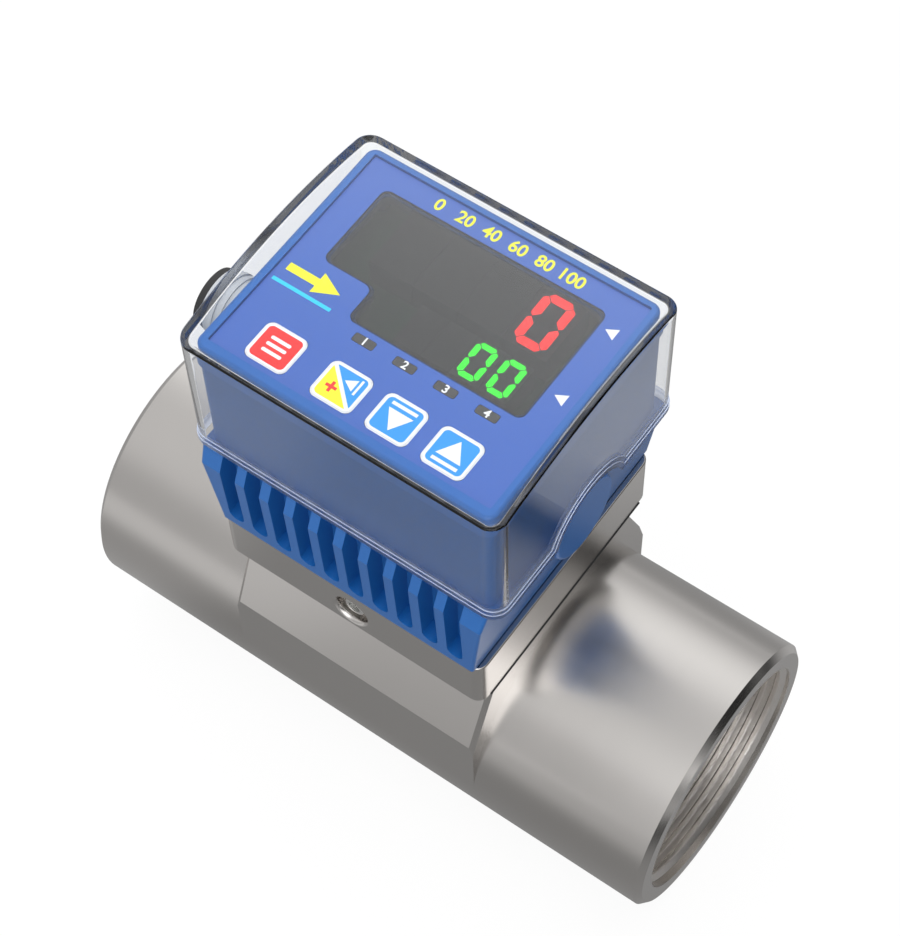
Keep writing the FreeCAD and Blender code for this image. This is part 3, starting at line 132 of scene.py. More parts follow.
def feed(tree, value, socket):
    # a plain value or another node's output
    if isinstance(value, bpy.types.NodeSocket):
        link(tree, value, socket)
    else:
        socket.default_value = value


def mixColours(tree, factor, first, second, place=(0, 0)):
    mix = addNode(tree, "ShaderNodeMix", place, data_type="RGBA")
    link(tree, factor, mix.inputs["Factor"])
    feed(tree, first, mix.inputs["A"])
    feed(tree, second, mix.inputs["B"])
    return mix.outputs["Result"]


def spread(tree, value, low, high, place=(0, 0)):
    stretch = addNode(tree, "ShaderNodeMapRange", place)
    link(tree, value, stretch.inputs["Value"])
    feed(tree, low, stretch.inputs["To Min"])
    feed(tree, high, stretch.inputs["To Max"])
    return stretch.outputs["Result"]


def calculate(tree, operation, first, second, place):
    step = addNode(tree, "ShaderNodeMath", place, operation=operation)
    feed(tree, first, step.inputs[0])
    feed(tree, second, step.inputs[1])
    return step.outputs["Value"]


def linear(hexColour):
    values = [int(hexColour[i:i + 2], 16) / 255 for i in (1, 3, 5)]
    return [v / 12.92 if v <= 0.04045 else ((v + 0.055) / 1.055) ** 2.4 for v in values] + [1]


def shade(colour, factor):
    return [min(1, c * factor) for c in colour[:3]] + [1]


# effects that several finishes share

grainSetup = {"fineDetail": 3, "patchScale": 22, "patchDetail": 4}
markSetup = {"detail": 5, "roughness": 0.65, "cloudScale": 35, "cloudDetail": 3, "lineShare": 0.7}
bumpDepth = 0.0001


def makeGrain():
    group, entry, leave = newGroup(
        "mouldedGrain",
        [("Scale", "NodeSocketFloat", 900), ("Smooth", "NodeSocketFloat", 0.3),
         ("Rough", "NodeSocketFloat", 0.45)],
        [("Roughness", "NodeSocketFloat"), ("Height", "NodeSocketFloat"), ("Patch", "NodeSocketFloat")],
    )
    place = addNode(group, "ShaderNodeTexCoord", (-800, 300))
    fine = addNode(group, "ShaderNodeTexNoise", (-500, 200))
    fine.inputs["Detail"].default_value = grainSetup["fineDetail"]
    broad = addNode(group, "ShaderNodeTexNoise", (-500, -100))
    broad.inputs["Scale"].default_value = grainSetup["patchScale"]
    broad.inputs["Detail"].default_value = grainSetup["patchDetail"]
    link(group, place.outputs["Object"], fine.inputs["Vector"])
    link(group, place.outputs["Object"], broad.inputs["Vector"])
    link(group, entry.outputs["Scale"], fine.inputs["Scale"])
    rough = spread(group, broad.outputs["Fac"], entry.outputs["Smooth"], entry.outputs["Rough"], (100, 100))
    link(group, rough, leave.inputs["Roughness"])
    link(group, fine.outputs["Fac"], leave.inputs["Height"])
    link(group, broad.outputs["Fac"], leave.inputs["Patch"])
    return group


def makeToolMarks():
    group, entry, leave = newGroup(
        "toolMarks",
        [("Stretch", "NodeSocketVector", (1600, 25, 25)), ("Smooth", "NodeSocketFloat", 0.2),
         ("Rough", "NodeSocketFloat", 0.34)],
        [("Roughness", "NodeSocketFloat"), ("Height", "NodeSocketFloat"), ("Tint", "NodeSocketFloat")],
    )
    place = addNode(group, "ShaderNodeTexCoord", (-800, 300))
    stretched = addNode(group, "ShaderNodeVectorMath", (-550, 200), operation="MULTIPLY")
    link(group, place.outputs["Object"], stretched.inputs[0])
    link(group, entry.outputs["Stretch"], stretched.inputs[1])
    lines = addNode(group, "ShaderNodeTexNoise", (-300, 200))
    lines.inputs["Scale"].default_value = 1
    lines.inputs["Detail"].default_value = markSetup["detail"]
    lines.inputs["Roughness"].default_value = markSetup["roughness"]
    link(group, stretched.outputs["Vector"], lines.inputs["Vector"])
    cloud = addNode(group, "ShaderNodeTexNoise", (-300, -100))
    cloud.inputs["Scale"].default_value = markSetup["cloudScale"]
    cloud.inputs["Detail"].default_value = markSetup["cloudDetail"]
    link(group, place.outputs["Object"], cloud.inputs["Vector"])
    both = addNode(group, "ShaderNodeMath", (0, 100), operation="MULTIPLY_ADD")
    link(group, lines.outputs["Fac"], both.inputs[0])
    both.inputs[1].default_value = markSetup["lineShare"]
    link(group, cloud.outputs["Fac"], both.inputs[2])
    rough = spread(group, both.outputs["Value"], entry.outputs["Smooth"], entry.outputs["Rough"],
                   (250, 100))
    link(group, rough, leave.inputs["Roughness"])
    link(group, lines.outputs["Fac"], leave.inputs["Height"])
    link(group, cloud.outputs["Fac"], leave.inputs["Tint"])
    return group


grainGroup = makeGrain()
toolMarkGroup = makeToolMarks()


def newMaterial(name):
    material = bpy.data.materials.new(name)
    material.use_nodes = True
    return material, material.node_tree, material.node_tree.nodes["Principled BSDF"]


def addBump(tree, shader, height, strength, depth):
    bump = addNode(tree, "ShaderNodeBump", (-250, -300))
    bump.inputs["Strength"].default_value = strength
    bump.inputs["Distance"].default_value = depth
    link(tree, height, bump.inputs["Height"])
    link(tree, bump.outputs["Normal"], shader.inputs["Normal"])


def useGroup(tree, group, **values):
    node = addNode(tree, "ShaderNodeGroup", (-700, 0), node_tree=group)
    for name, value in values.items():
        node.inputs[name].default_value = value
    return node


def tintBy(tree, mask, colour, vary, socket):
    # the colour, a little darker and lighter by patches
    tint = mixColours(tree, mask, shade(colour, 1 - vary), shade(colour, 1 + vary), (-350, 200))
    link(tree, tint, socket)


def mouldedFinish(name, colour, smooth=0.3, rough=0.45, vary=0.08, scale=900, bump=0.06):
    material, tree, shader = newMaterial(name)
    grain = useGroup(tree, grainGroup, Scale=scale, Smooth=smooth, Rough=rough)
    tintBy(tree, grain.outputs["Patch"], colour, vary, shader.inputs["Base Color"])
    link(tree, grain.outputs["Roughness"], shader.inputs["Roughness"])
    addBump(tree, shader, grain.outputs["Height"], bump, bumpDepth)
    return material


def machinedFinish(name, colour, stretch, smooth, rough, vary=0.025, bump=0.012, depth=bumpDepth):
    material, tree, shader = newMaterial(name)
    marks = useGroup(tree, toolMarkGroup, Stretch=stretch, Smooth=smooth, Rough=rough)
    tintBy(tree, marks.outputs["Tint"], colour, vary, shader.inputs["Base Color"])
    link(tree, marks.outputs["Roughness"], shader.inputs["Roughness"])
    addBump(tree, shader, marks.outputs["Height"], bump, depth)
    shader.inputs["Metallic"].default_value = 1
    return material


def litFinish(name, colour, strength, vary=0.04, unlit=0.3):
    material, tree, shader = newMaterial(name)
    grain = useGroup(tree, grainGroup, Scale=400, Smooth=0.3, Rough=0.4)
    tintBy(tree, grain.outputs["Patch"], colour, vary, shader.inputs["Emission Color"])
    shader.inputs["Emission Strength"].default_value = strength
    shader.inputs["Base Color"].default_value = shade(colour, unlit)
    link(tree, grain.outputs["Roughness"], shader.inputs["Roughness"])
    return material


lips = {
    "height": 3.0,  # both lips together, mm above the cover's foot
    "archAxis": 93.4,  # height of the hubs' axis, mm
    "archReach": 17.6,  # outer radius of the upper lip over an arch
    "archSteps": 128,
    # pale tint on the lips, a painted highlight along them; the roughness below frosts them
    "colour": (0.80, 0.86, 1.0, 1),
    "rough": 0.45,
    "step": 0.25,  # how much further in the upper lip stands
    "corner": 5.0,
    # the pale line below is a painted highlight on each lip's edge
    "line": (0.22, 0.12),  # width and thickness of the pale line on a lip's edge
    "play": 0.01,
}
coverSetup = {
    "grain": 60,
    "smooth": 0.0,
    "rough": 0.02,
    "bend": 1.42,  # under the real plastic's 1.58, so that the walls mirror less
    "shadow": (0.94, 0.95, 0.97, 1),
}


def lipMask(tree):
    # 1 on the two lips round the cover's foot and over its arches
    place = addNode(tree, "ShaderNodeTexCoord", (-1400, 300))
    split = addNode(tree, "ShaderNodeSeparateXYZ", (-1200, 300))
    link(tree, place.outputs["Object"], split.inputs["Vector"])
    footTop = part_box("clear_cover")[0].z + lips["height"] * mm
    foot = calculate(tree, "LESS_THAN", split.outputs["Z"], footTop, (-900, 400))
    rise = calculate(tree, "SUBTRACT", split.outputs["Z"], lips["archAxis"] * mm, (-1000, 200))
    high = calculate(tree, "MULTIPLY", rise, rise, (-900, 200))
    wide = calculate(tree, "MULTIPLY", split.outputs["Y"], split.outputs["Y"], (-900, 100))
    away = calculate(tree, "ADD", high, wide, (-800, 200))
    arch = calculate(tree, "LESS_THAN", away, (lips["archReach"] * mm) ** 2, (-700, 200))
    return calculate(tree, "MAXIMUM", foot, arch, (-600, 300))


def clearFinish(name, colour):
    material, tree, shader = newMaterial(name)
    grain = useGroup(tree, grainGroup, Scale=coverSetup["grain"], Smooth=coverSetup["smooth"],
                     Rough=coverSetup["rough"])
    lip = lipMask(tree)
    rough = spread(tree, lip, grain.outputs["Roughness"], lips["rough"], (-300, 100))
    link(tree, rough, shader.inputs["Roughness"])
    # the lips are frosted, and their pale tint is a painted highlight
    link(tree, mixColours(tree, lip, colour, lips["colour"], (-300, 300)), shader.inputs["Base Color"])
    shader.inputs["Transmission Weight"].default_value = 1
    shader.inputs["IOR"].default_value = coverSetup["bend"]
    see = addNode(tree, "ShaderNodeBsdfTransparent", (100, -200))
    see.inputs["Color"].default_value = coverSetup["shadow"]
    path = addNode(tree, "ShaderNodeLightPath", (100, 300))
    mix = addNode(tree, "ShaderNodeMixShader", (350, 0))
    output = tree.nodes["Material Output"]
    output.location = (550, 0)
    link(tree, path.outputs["Is Shadow Ray"], mix.inputs["Fac"])
    link(tree, shader.outputs["BSDF"], mix.inputs[1])
    link(tree, see.outputs["BSDF"], mix.inputs[2])
    link(tree, mix.outputs["Shader"], output.inputs["Surface"])
    return material


def windowFinish(name, colour, alpha):
    material = mouldedFinish(name, colour, smooth=0.12, rough=0.2, vary=0.03, scale=300, bump=0.0)
    material.node_tree.nodes["Principled BSDF"].inputs["Alpha"].default_value = alpha
    return material


steelColour = [0.61, 0.588, 0.568, 1]
finishes = {
    "pipe": machinedFinish("turnedSteel", steelColour, (1500, 30, 30), 0.19, 0.26, bump=0.006),
    "plate": machinedFinish("milledSteel", steelColour, (40, 1300, 1300), 0.19, 0.26, bump=0.006),
    # the sockets' thread is the pipe's own steel, made lighter: painted light inside the sockets
    "thread": machinedFinish("threadSteelPaintedLight", [0.82, 0.79, 0.76, 1], (900, 300, 300), 0.16, 0.36, bump=0.9,
                             depth=0.0005),
    "fastener": machinedFinish("fastenerSteel", [0.80, 0.80, 0.79, 1], (60, 60, 900), 0.15, 0.3),
    "case": mouldedFinish("caseBlue", linear("#1A5FA7"), 0.3, 0.42),
    # the bezel is the case's blue plastic, made lighter: a painted highlight on its rim
    "bezel": mouldedFinish("bezelBluePaintedHighlight", linear("#2467B4"), 0.28, 0.38, vary=0.04),
    "panel": mouldedFinish("panelFilm", [0.052, 0.138, 0.49, 1], 0.25, 0.35, vary=0.03, scale=1500,
                           bump=0.02),
    "window": windowFinish("windowGrey", [0.05, 0.05, 0.05, 1], 0.5),
    "lens": mouldedFinish("lensGrey", [0.065, 0.065, 0.065, 1], 0.2, 0.3, vary=0.03, bump=0.01),
    "digitFace": mouldedFinish("digitFace", [0.10, 0.10, 0.10, 1], 0.4, 0.5, vary=0.03),
    "redLit": litFinish("redLit", [1.0, 0.01, 0.01, 1], 5.0),
    "greenLit": litFinish("greenLit", [0.01, 1.0, 0.01, 1], 5.0),
    "ledClear": mouldedFinish("ledClear", [0.75, 0.75, 0.70, 1], 0.1, 0.2),
    "white": mouldedFinish("printWhite", [0.95, 0.95, 0.95, 1], 0.3, 0.4, vary=0.01, bump=0.02),
    "red": mouldedFinish("printRed", [0.97, 0.035, 0.035, 1], 0.3, 0.4, vary=0.02, bump=0.02),
    "yellow": mouldedFinish("printYellow", [0.97, 0.95, 0.03, 1], 0.3, 0.4, vary=0.02, bump=0.02),
    "blue": mouldedFinish("printBlue", [0.03, 0.34, 0.95, 1], 0.3, 0.4, vary=0.02, bump=0.02),
    "cyan": mouldedFinish("printCyan", [0.03, 0.66, 0.95, 1], 0.3, 0.4, vary=0.02, bump=0.02),
    "cover": clearFinish("coverClear", (0.985, 0.993, 1.0, 1)),
    # pale see-through strips on the lips' edges: a painted highlight
    "lipHighlight": windowFinish("lipPaintedHighlight", [0.66, 0.74, 0.92, 1], 0.6),
    "insert": mouldedFinish("insertBlack", [0.025, 0.025, 0.026, 1], 0.35, 0.5, scale=1200, bump=0.1),
    "wheel": mouldedFinish("wheelWhite", [0.80, 0.80, 0.77, 1], 0.3, 0.45),
    "bushing": mouldedFinish("bushingBrown", [0.30, 0.19, 0.09, 1], 0.3, 0.45),
    "magnet": machinedFinish("magnetGrey", [0.30, 0.30, 0.31, 1], (300, 300, 300), 0.3, 0.5),
    "rubber": mouldedFinish("sealRubber", [0.02, 0.02, 0.021, 1], 0.5, 0.7, scale=1600, bump=0.12),
    "board": mouldedFinish("boardGreen", [0.02, 0.16, 0.06, 1], 0.25, 0.4),
    "chip": mouldedFinish("chipBlack", [0.02, 0.02, 0.02, 1], 0.4, 0.55),
    "terminal": mouldedFinish("terminalGreen", [0.03, 0.25, 0.10, 1], 0.35, 0.5),
    "brass": machinedFinish("spigotBrass", [0.66, 0.48, 0.20, 1], (20, 20, 1400), 0.2, 0.35),
    "gland": mouldedFinish("glandGrey", linear("#B4B7BA"), 0.3, 0.45),
    "lead": mouldedFinish("leadGrey", [0.10, 0.10, 0.105, 1], 0.45, 0.6),
}
nodeFinishes = {
    "pipe": ["flow_body"],
    "plate": ["top_flange"],
    "fastener": ["flange_screws", "lock_screw", "rotor_pin", "spigot_screws", "board_standoffs",
                 "board_screws"],
    "case": ["housing"],
    "bezel": ["bezel_frame"],
    "panel": ["membrane_panel"],
    "window": ["display_window"],
    "lens": ["indicator_lenses"],
    "digitFace": ["red_digits", "green_digits"],
    "ledClear": ["indicator_leds"],
    "white": ["key_set", "key_shift", "key_down", "key_up"],
    "cover": ["clear_cover"],
    "insert": ["sensor_insert"],
    "wheel": ["paddle_wheel"],
    "bushing": ["rotor_bushings"],
    "magnet": ["paddle_magnets"],
    "rubber": ["flange_gasket", "insert_seals", "spigot_seal", "bezel_seal", "swivel_washer", "gland_seal"],
    "board": ["hall_board", "display_board", "power_board"],
    "chip": ["hall_sensor", "key_switches", "lead_socket"],
    "terminal": ["terminal_block"],
    "brass": ["swivel_spigot"],
    "gland": ["gland_body", "gland_nut", "gland_locknut"],
    "lead": ["sensor_lead"],
}
for finish, names in nodeFinishes.items():
    for name in names:
        nodes[name].material_slots[0].material = finishes[finish]
print("finishes made:", len(finishes))


# modelling helpers


def deselectAll():
    if bpy.context.object and bpy.context.object.mode != "OBJECT":
        bpy.ops.object.mode_set(mode="OBJECT")
    bpy.ops.object.select_all(action="DESELECT")


def pickPiece(piece):
    deselectAll()
    piece.select_set(True)
    bpy.context.view_layer.objects.active = piece


def selectMesh():
    bpy.ops.mesh.select_all(action="SELECT")


def settle(piece, name, body, finish):
    # place goes into the mesh, then the piece rides on its body
    pickPiece(piece)
    bpy.ops.object.transform_apply(location=True, rotation=True, scale=True)
    piece.name = name
    piece.data.name = name
    piece.data.materials.clear()
    piece.data.materials.append(finishes[finish])
    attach(piece, body)
    return piece


def pickFaces(piece, wanted):
    bpy.ops.object.mode_set(mode="OBJECT")
    mesh = piece.data
    for parts in (mesh.vertices, mesh.edges, mesh.polygons):
        parts.foreach_set("select", [False] * len(parts))
    for face in mesh.polygons:
        face.select = wanted(face)
    bpy.ops.object.mode_set(mode="EDIT")


def fromAxis(x, y, height):
    # mm from the swivel axis, to metres
    return Vector((x * mm + meterX, y * mm, height))


def raisePlate(piece, thickness):
    selectMesh()
    bpy.ops.mesh.extrude_region_move(TRANSFORM_OT_translate={"value": (0, 0, thickness)})
    selectMesh()
    bpy.ops.mesh.normals_make_consistent(inside=False)
    bpy.ops.object.mode_set(mode="OBJECT")
    return piece


plateSetup = {"spare": 1.5, "cornerSegments": 8}  # spare: how much larger the uncut plane is


def cutPlate(corners, bottom, thickness):
    # a flat plate: a plane, cut along each side of a convex outline, then raised
    deselectAll()
    xs = [corner[0] for corner in corners]
    ys = [corner[1] for corner in corners]
    middle = fromAxis((min(xs) + max(xs)) / 2, (min(ys) + max(ys)) / 2, bottom)
    reach = max(max(xs) - min(xs), max(ys) - min(ys)) * plateSetup["spare"] * mm
    bpy.ops.mesh.primitive_plane_add(size=reach, location=middle)
    piece = bpy.context.object
    bpy.ops.object.mode_set(mode="EDIT")
    for corner, following in zip(corners, corners[1:] + corners[:1]):
        here = fromAxis(*corner, bottom)
        outward = (fromAxis(*following, bottom) - here).cross(Vector((0, 0, 1))).normalized()
        selectMesh()
        bpy.ops.mesh.bisect(plane_co=here, plane_no=outward, clear_outer=True)
    return raisePlate(piece, thickness)


def flatPlate(length, depth, corner, x, y, bottom):
    deselectAll()
    bpy.ops.mesh.primitive_plane_add(size=1, location=fromAxis(x, y, bottom))
    piece = bpy.context.object
    piece.scale = (length * mm, depth * mm, 1)
    bpy.ops.object.transform_apply(location=False, rotation=False, scale=True)
    bpy.ops.object.mode_set(mode="EDIT")
    selectMesh()
    bpy.ops.mesh.bevel(offset=corner * mm, segments=plateSetup["cornerSegments"], affect="VERTICES")
    return piece


def flatRing(length, depth, corner, width, x, y, bottom):
    piece = flatPlate(length, depth, corner, x, y, bottom)
    selectMesh()
    bpy.ops.mesh.inset(thickness=width * mm)
    bpy.ops.mesh.delete(type="FACE")
    return piece


def roundedPlate(length, depth, corner, x, y, bottom, thickness):
    return raisePlate(flatPlate(length, depth, corner, x, y, bottom), thickness)


def joinPieces(pieces):
    deselectAll()
    for piece in pieces:
        piece.select_set(True)
    bpy.context.view_layer.objects.active = pieces[0]
    bpy.ops.object.transform_apply(location=True, rotation=True, scale=True)
    if len(pieces) > 1:
        bpy.ops.object.join()
    return bpy.context.object


boldness = 0.022  # how far a numeral's outline grows, as a share of its size


def numeral(text, size, x, y, bottom, thickness):
    deselectAll()
    bpy.ops.object.text_add(location=fromAxis(x, y, bottom))
    piece = bpy.context.object
    piece.data.body = text
    piece.data.size = size * mm
    piece.data.align_x = "CENTER"
    piece.data.align_y = "CENTER"
    piece.data.extrude = thickness / 2
    piece.data.offset = size * mm * boldness
    bpy.ops.object.convert(target="MESH")
    return bpy.context.object


# body with the seam in its shading closed

bodyCopy = {"merge": 0.002, "sharpFrom": 20}  # mm and degrees


def smoothBody():
    piece = bpy.data.objects.new("flow_body_smooth", nodes["flow_body"].data.copy())
    bpy.context.scene.collection.objects.link(piece)
    pickPiece(piece)
    bpy.ops.mesh.customdata_custom_splitnormals_clear()
    bpy.ops.object.mode_set(mode="EDIT")
    selectMesh()
    bpy.ops.mesh.remove_doubles(threshold=bodyCopy["merge"] * mm)
    bpy.ops.object.mode_set(mode="OBJECT")
    bpy.ops.object.shade_smooth_by_angle(angle=math.radians(bodyCopy["sharpFrom"]))
    settle(piece, "flow_body_smooth", "meter_body", "pipe")
    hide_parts("flow_body")


smoothBody()
print("body smoothed")


# lit digits

digits = {
    "redShape": (9.0, 16.0, 2.3, 2.05),  # width, height, stroke and corner cut, mm
    "greenShape": (6.0, 10.5, 1.5, 1.25),
    "gap": 0.28,
    "pinch": 0.36,  # where the upright strokes meet, as a share of the stroke
    "raise": 0.05,
    "redPlace": (21.45, 16.3),  # as seen on the panel's face
    "greenPlaces": [(14.8, -1.5), (22.9, -1.5)],
}


def strokeOutlines(width, height, stroke, cut):
    # the six strokes of a nought, each a convex outline about the digit's middle
    outX, outY = width / 2, height / 2
    inX, inY = outX - stroke, outY - stroke
    gap = digits["gap"] / 2
    half = cut / 2
    notch = stroke * digits["pinch"]
    step = gap * math.sqrt(2)
    top = [(-outX + cut, outY), (-outX + half + step, outY - half), (-inX + step, inY), (inX - step, inY),
           (outX - half - step, outY - half), (outX - cut, outY)]
    side = [(-outX, outY - cut), (-outX, notch), (-outX + notch, gap), (-inX, stroke - notch + gap),
            (-inX, inY - step), (-outX + half, outY - half - step)]
    outlines = [top, side]
    outlines.append([(-x, y) for x, y in reversed(side)])
    outlines += [[(x, -y) for x, y in reversed(outline)] for outline in outlines]
    return outlines


def litDigit(name, shape, seenAt, carrier, finish):
    back = viewAxes()[2]
    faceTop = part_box(carrier)[1].z
    drop = (panelTop - faceTop) / back.z / mm  # seen through the window, so set back along the view
    x = seenAt[0] - back.x * drop
    y = seenAt[1] - back.y * drop
    strokes = [cutPlate([(x + px, y + py) for px, py in outline], faceTop, digits["raise"] * mm)
               for outline in strokeOutlines(*shape)]
    return settle(joinPieces(strokes), name, "display_head", finish)


litDigit("red_nought", digits["redShape"], digits["redPlace"], "red_digits", "redLit")
for side, place in zip(("left", "right"), digits["greenPlaces"]):
    litDigit("green_nought_" + side, digits["greenShape"], place, "green_digits", "greenLit")
print("digits lit")


# key faces

keys = {
    "length": 9.8,  # mm
    "depth": 9.2,
    "corner": 1.25,
    "film": 0.04,
    "triangle": (6.8, 5.4),  # base and height
    "bar": (7.0, 0.9),  # length and depth
    "barGap": 1.0,
    "settle": 1.9,  # from the key's middle to the triangle's base
    "menuBar": (5.6, 0.95, 0.4),  # length, depth and corner
    "menuStep": 1.9,
    "divide": 0.45,  # half of the white line across the split key
    "plus": (3.0, 0.8),  # length and width of its bars
    "plusPlace": (-2.3, -0.5),  # across and along the white line, from the key's middle
    "smallTriangle": (3.4, 2.9),
    "smallPlace": (2.1, -0.4),
    "smallBar": (4.4, 0.6),
    "smallBarGap": 0.9,  # from the triangle's base to the bar's middle
    "hole": (11.8, 11.2, 2.1),  # the panel's cut-out for a key: length, depth and corner
    "gap": 0.3,
    "webPlay": 0.03,
    "webSink": 0.1,
    "webRise": 0.08,
}


def keyMiddle(node):
    low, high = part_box(node)
    return ((low.x + high.x) / 2 - meterX) / mm, (low.y + high.y) / 2 / mm, high.z


def keyFace(node, finish):
    x, y, top = keyMiddle(node)
    face = roundedPlate(keys["length"], keys["depth"], keys["corner"], x, y, top, keys["film"] * mm)
    return settle(face, node + "_face", node, finish)


def rectangle(x, y, length, depth):
    return [(x - length / 2, y - depth / 2), (x + length / 2, y - depth / 2),
            (x + length / 2, y + depth / 2), (x - length / 2, y + depth / 2)]


def arrowOutlines(x, y, facing):
    # a triangle that points along Y by the sign of facing, and a bar behind its base
    base, height = keys["triangle"]
    foot = y - keys["settle"] * facing
    triangle = [(x - base / 2 * facing, foot), (x + base / 2 * facing, foot), (x, foot + height * facing)]
    barLength, barDepth = keys["bar"]
    return [triangle, rectangle(x, foot - (keys["barGap"] + barDepth / 2) * facing, barLength, barDepth)]


def printPlates(name, outlines, bottom, body, finish):
    plates = [cutPlate(outline, bottom, keys["film"] * mm) for outline in outlines]
    return settle(joinPieces(plates), name, body, finish)


def makeWebs():
    # the white film that closes the gap round each key
    length, depth, corner = keys["hole"]
    play = keys["webPlay"]
    width = keys["gap"] - play * 2
    bottom = panelTop - keys["webSink"] * mm
    thick = (keys["webSink"] + keys["webRise"]) * mm
    webs = []
    for node in ("key_set", "key_shift", "key_down", "key_up"):
        x, y = keyMiddle(node)[:2]
        web = flatRing(length - play * 2, depth - play * 2, corner - play, width, x, y, bottom)
        webs.append(raisePlate(web, thick))
    settle(joinPieces(webs), "key_webs", "display_head", "white")


def splitKey():
    # yellow on the front left half, blue on the back right one, with a white line between them
    x, y, top = keyMiddle("key_shift")
    middle = Vector((x, y))
    lift = keys["film"] * mm
    keyFace("key_shift", "white")
    halfX, halfY = keys["length"] / 2, keys["depth"] / 2
    reach = math.hypot(halfX, halfY)
    across = Vector((halfY, halfX)) / reach  # from the yellow half to the blue one
    along = Vector((halfX, -halfY)) / reach
    for name, side, finish in (("yellow", -1, "yellow"), ("blue", 1, "blue")):
        half = roundedPlate(keys["length"], keys["depth"], keys["corner"], x, y, top + lift, lift)
        pickPiece(half)
        bpy.ops.object.mode_set(mode="EDIT")
        selectMesh()
        edge = middle + across * keys["divide"] * side
        bpy.ops.mesh.bisect(plane_co=fromAxis(edge.x, edge.y, top),
                            plane_no=(-across.x * side, -across.y * side, 0), clear_outer=True,
                            use_fill=True)
        bpy.ops.object.mode_set(mode="OBJECT")
        settle(half, "key_shift_" + name, "key_shift", finish)
    plusLength, plusWidth = keys["plus"]
    spot = middle + across * keys["plusPlace"][0] + along * keys["plusPlace"][1]
    arm = (plusLength - plusWidth) / 2
    reachOut = (plusLength + plusWidth) / 4  # to the middle of an upright arm
    cross = [rectangle(spot.x, spot.y, plusLength, plusWidth),
             rectangle(spot.x, spot.y + reachOut, plusWidth, arm),
             rectangle(spot.x, spot.y - reachOut, plusWidth, arm)]
    printPlates("key_shift_plus", cross, top + lift * 2, "key_shift", "red")
    base, height = keys["smallTriangle"]
    spot = middle + across * keys["smallPlace"][0] + along * keys["smallPlace"][1]
    foot = spot.x + height / 2
    triangle = [(foot, spot.y - base / 2), (foot, spot.y + base / 2), (spot.x - height / 2, spot.y)]
    barLength, barWidth = keys["smallBar"]
    bar = rectangle(foot + keys["smallBarGap"], spot.y, barWidth, barLength)
    printPlates("key_shift_arrow", [triangle, bar], top + lift * 2, "key_shift", "white")


def makeKeys():
    lift = keys["film"] * mm
    keyFace("key_set", "red")
    x, y, top = keyMiddle("key_set")
    length, depth, corner = keys["menuBar"]
    bars = [roundedPlate(length, depth, corner, x, y + keys["menuStep"] * row, top + lift, lift)
            for row in (-1, 0, 1)]
    settle(joinPieces(bars), "key_set_marks", "key_set", "white")
    for node, facing in (("key_down", -1), ("key_up", 1)):
        keyFace(node, "blue")
        x, y, top = keyMiddle(node)
        printPlates(node + "_marks", arrowOutlines(x, y, facing), top + lift, node, "white")
    splitKey()
    makeWebs()


makeKeys()
print("key faces made")


# prints on the panel

prints = {
    "scale": ["0", "20", "40", "60", "80", "100"],
    "scaleFrom": -18.5,
    "scaleStep": 7.6,
    "scaleY": 29.9,
    "scaleSize": 4.8,
    "flowShaft": (-37.6, -4.6, 8.6, 2.3),  # start, length and width
    "flowHead": (6.4, 6.6),  # base and height
    "stream": (-30.2, -9.3, 17.0, 1.0),  # middle, length and width
    "lensLabels": ["1", "2", "3", "4"],
    "lensSize": 3.1,
    "lensLength": 6.1,
    "pointers": [(35.4, 22.6), (35.9, 1.1)],
    "pointer": (3.4, 3.0),  # base and height
}


def makePrints():
    thick = keys["film"] * mm
    marks = [numeral(text, prints["scaleSize"], prints["scaleFrom"] + prints["scaleStep"] * i,
                     prints["scaleY"], panelTop, thick) for i, text in enumerate(prints["scale"])]
    settle(joinPieces(marks), "panel_scale", "display_head", "yellow")
    x, y, length, width = prints["flowShaft"]
    headBase, headHeight = prints["flowHead"]
    neck = x + length
    head = [(neck, y - headBase / 2), (neck + headHeight, y), (neck, y + headBase / 2)]
    printPlates("flow_arrow", [rectangle(x + length / 2, y, length, width), head], panelTop, "display_head",
                "yellow")
    printPlates("flow_stream", [rectangle(*prints["stream"])], panelTop, "display_head",
                "cyan")
    base, height = prints["pointer"]
    pointers = [[(x - height / 2, y), (x + height / 2, y - base / 2), (x + height / 2, y + base / 2)]
                for x, y in prints["pointers"]]
    printPlates("row_pointers", pointers, panelTop, "display_head", "white")
    low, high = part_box("indicator_lenses")
    lensY = (low.y + high.y) / 2 / mm
    first = (low.x - meterX) / mm + prints["lensLength"] / 2
    pitch = ((high.x - low.x) / mm - prints["lensLength"]) / (len(prints["lensLabels"]) - 1)
    labels = [numeral(text, prints["lensSize"], first + pitch * i, lensY, high.z, thick)
              for i, text in enumerate(prints["lensLabels"])]
    settle(joinPieces(labels), "lens_numbers", "display_head", "white")


makePrints()
print("panel printed")


# lock screw with a hexagon socket

lockScrew = {
    "rim": 0.45,
    "rimSegments": 3,
    "socketAcross": 3.4,
    "socketDepth": 2.4,
    "pointRadius": 2.0,
    "pointLength": 3.0,
    "sides": 64,
    "squareOn": 0.9,  # how squarely an end face looks along Y
    "sharpFrom": 30,  # degrees
}


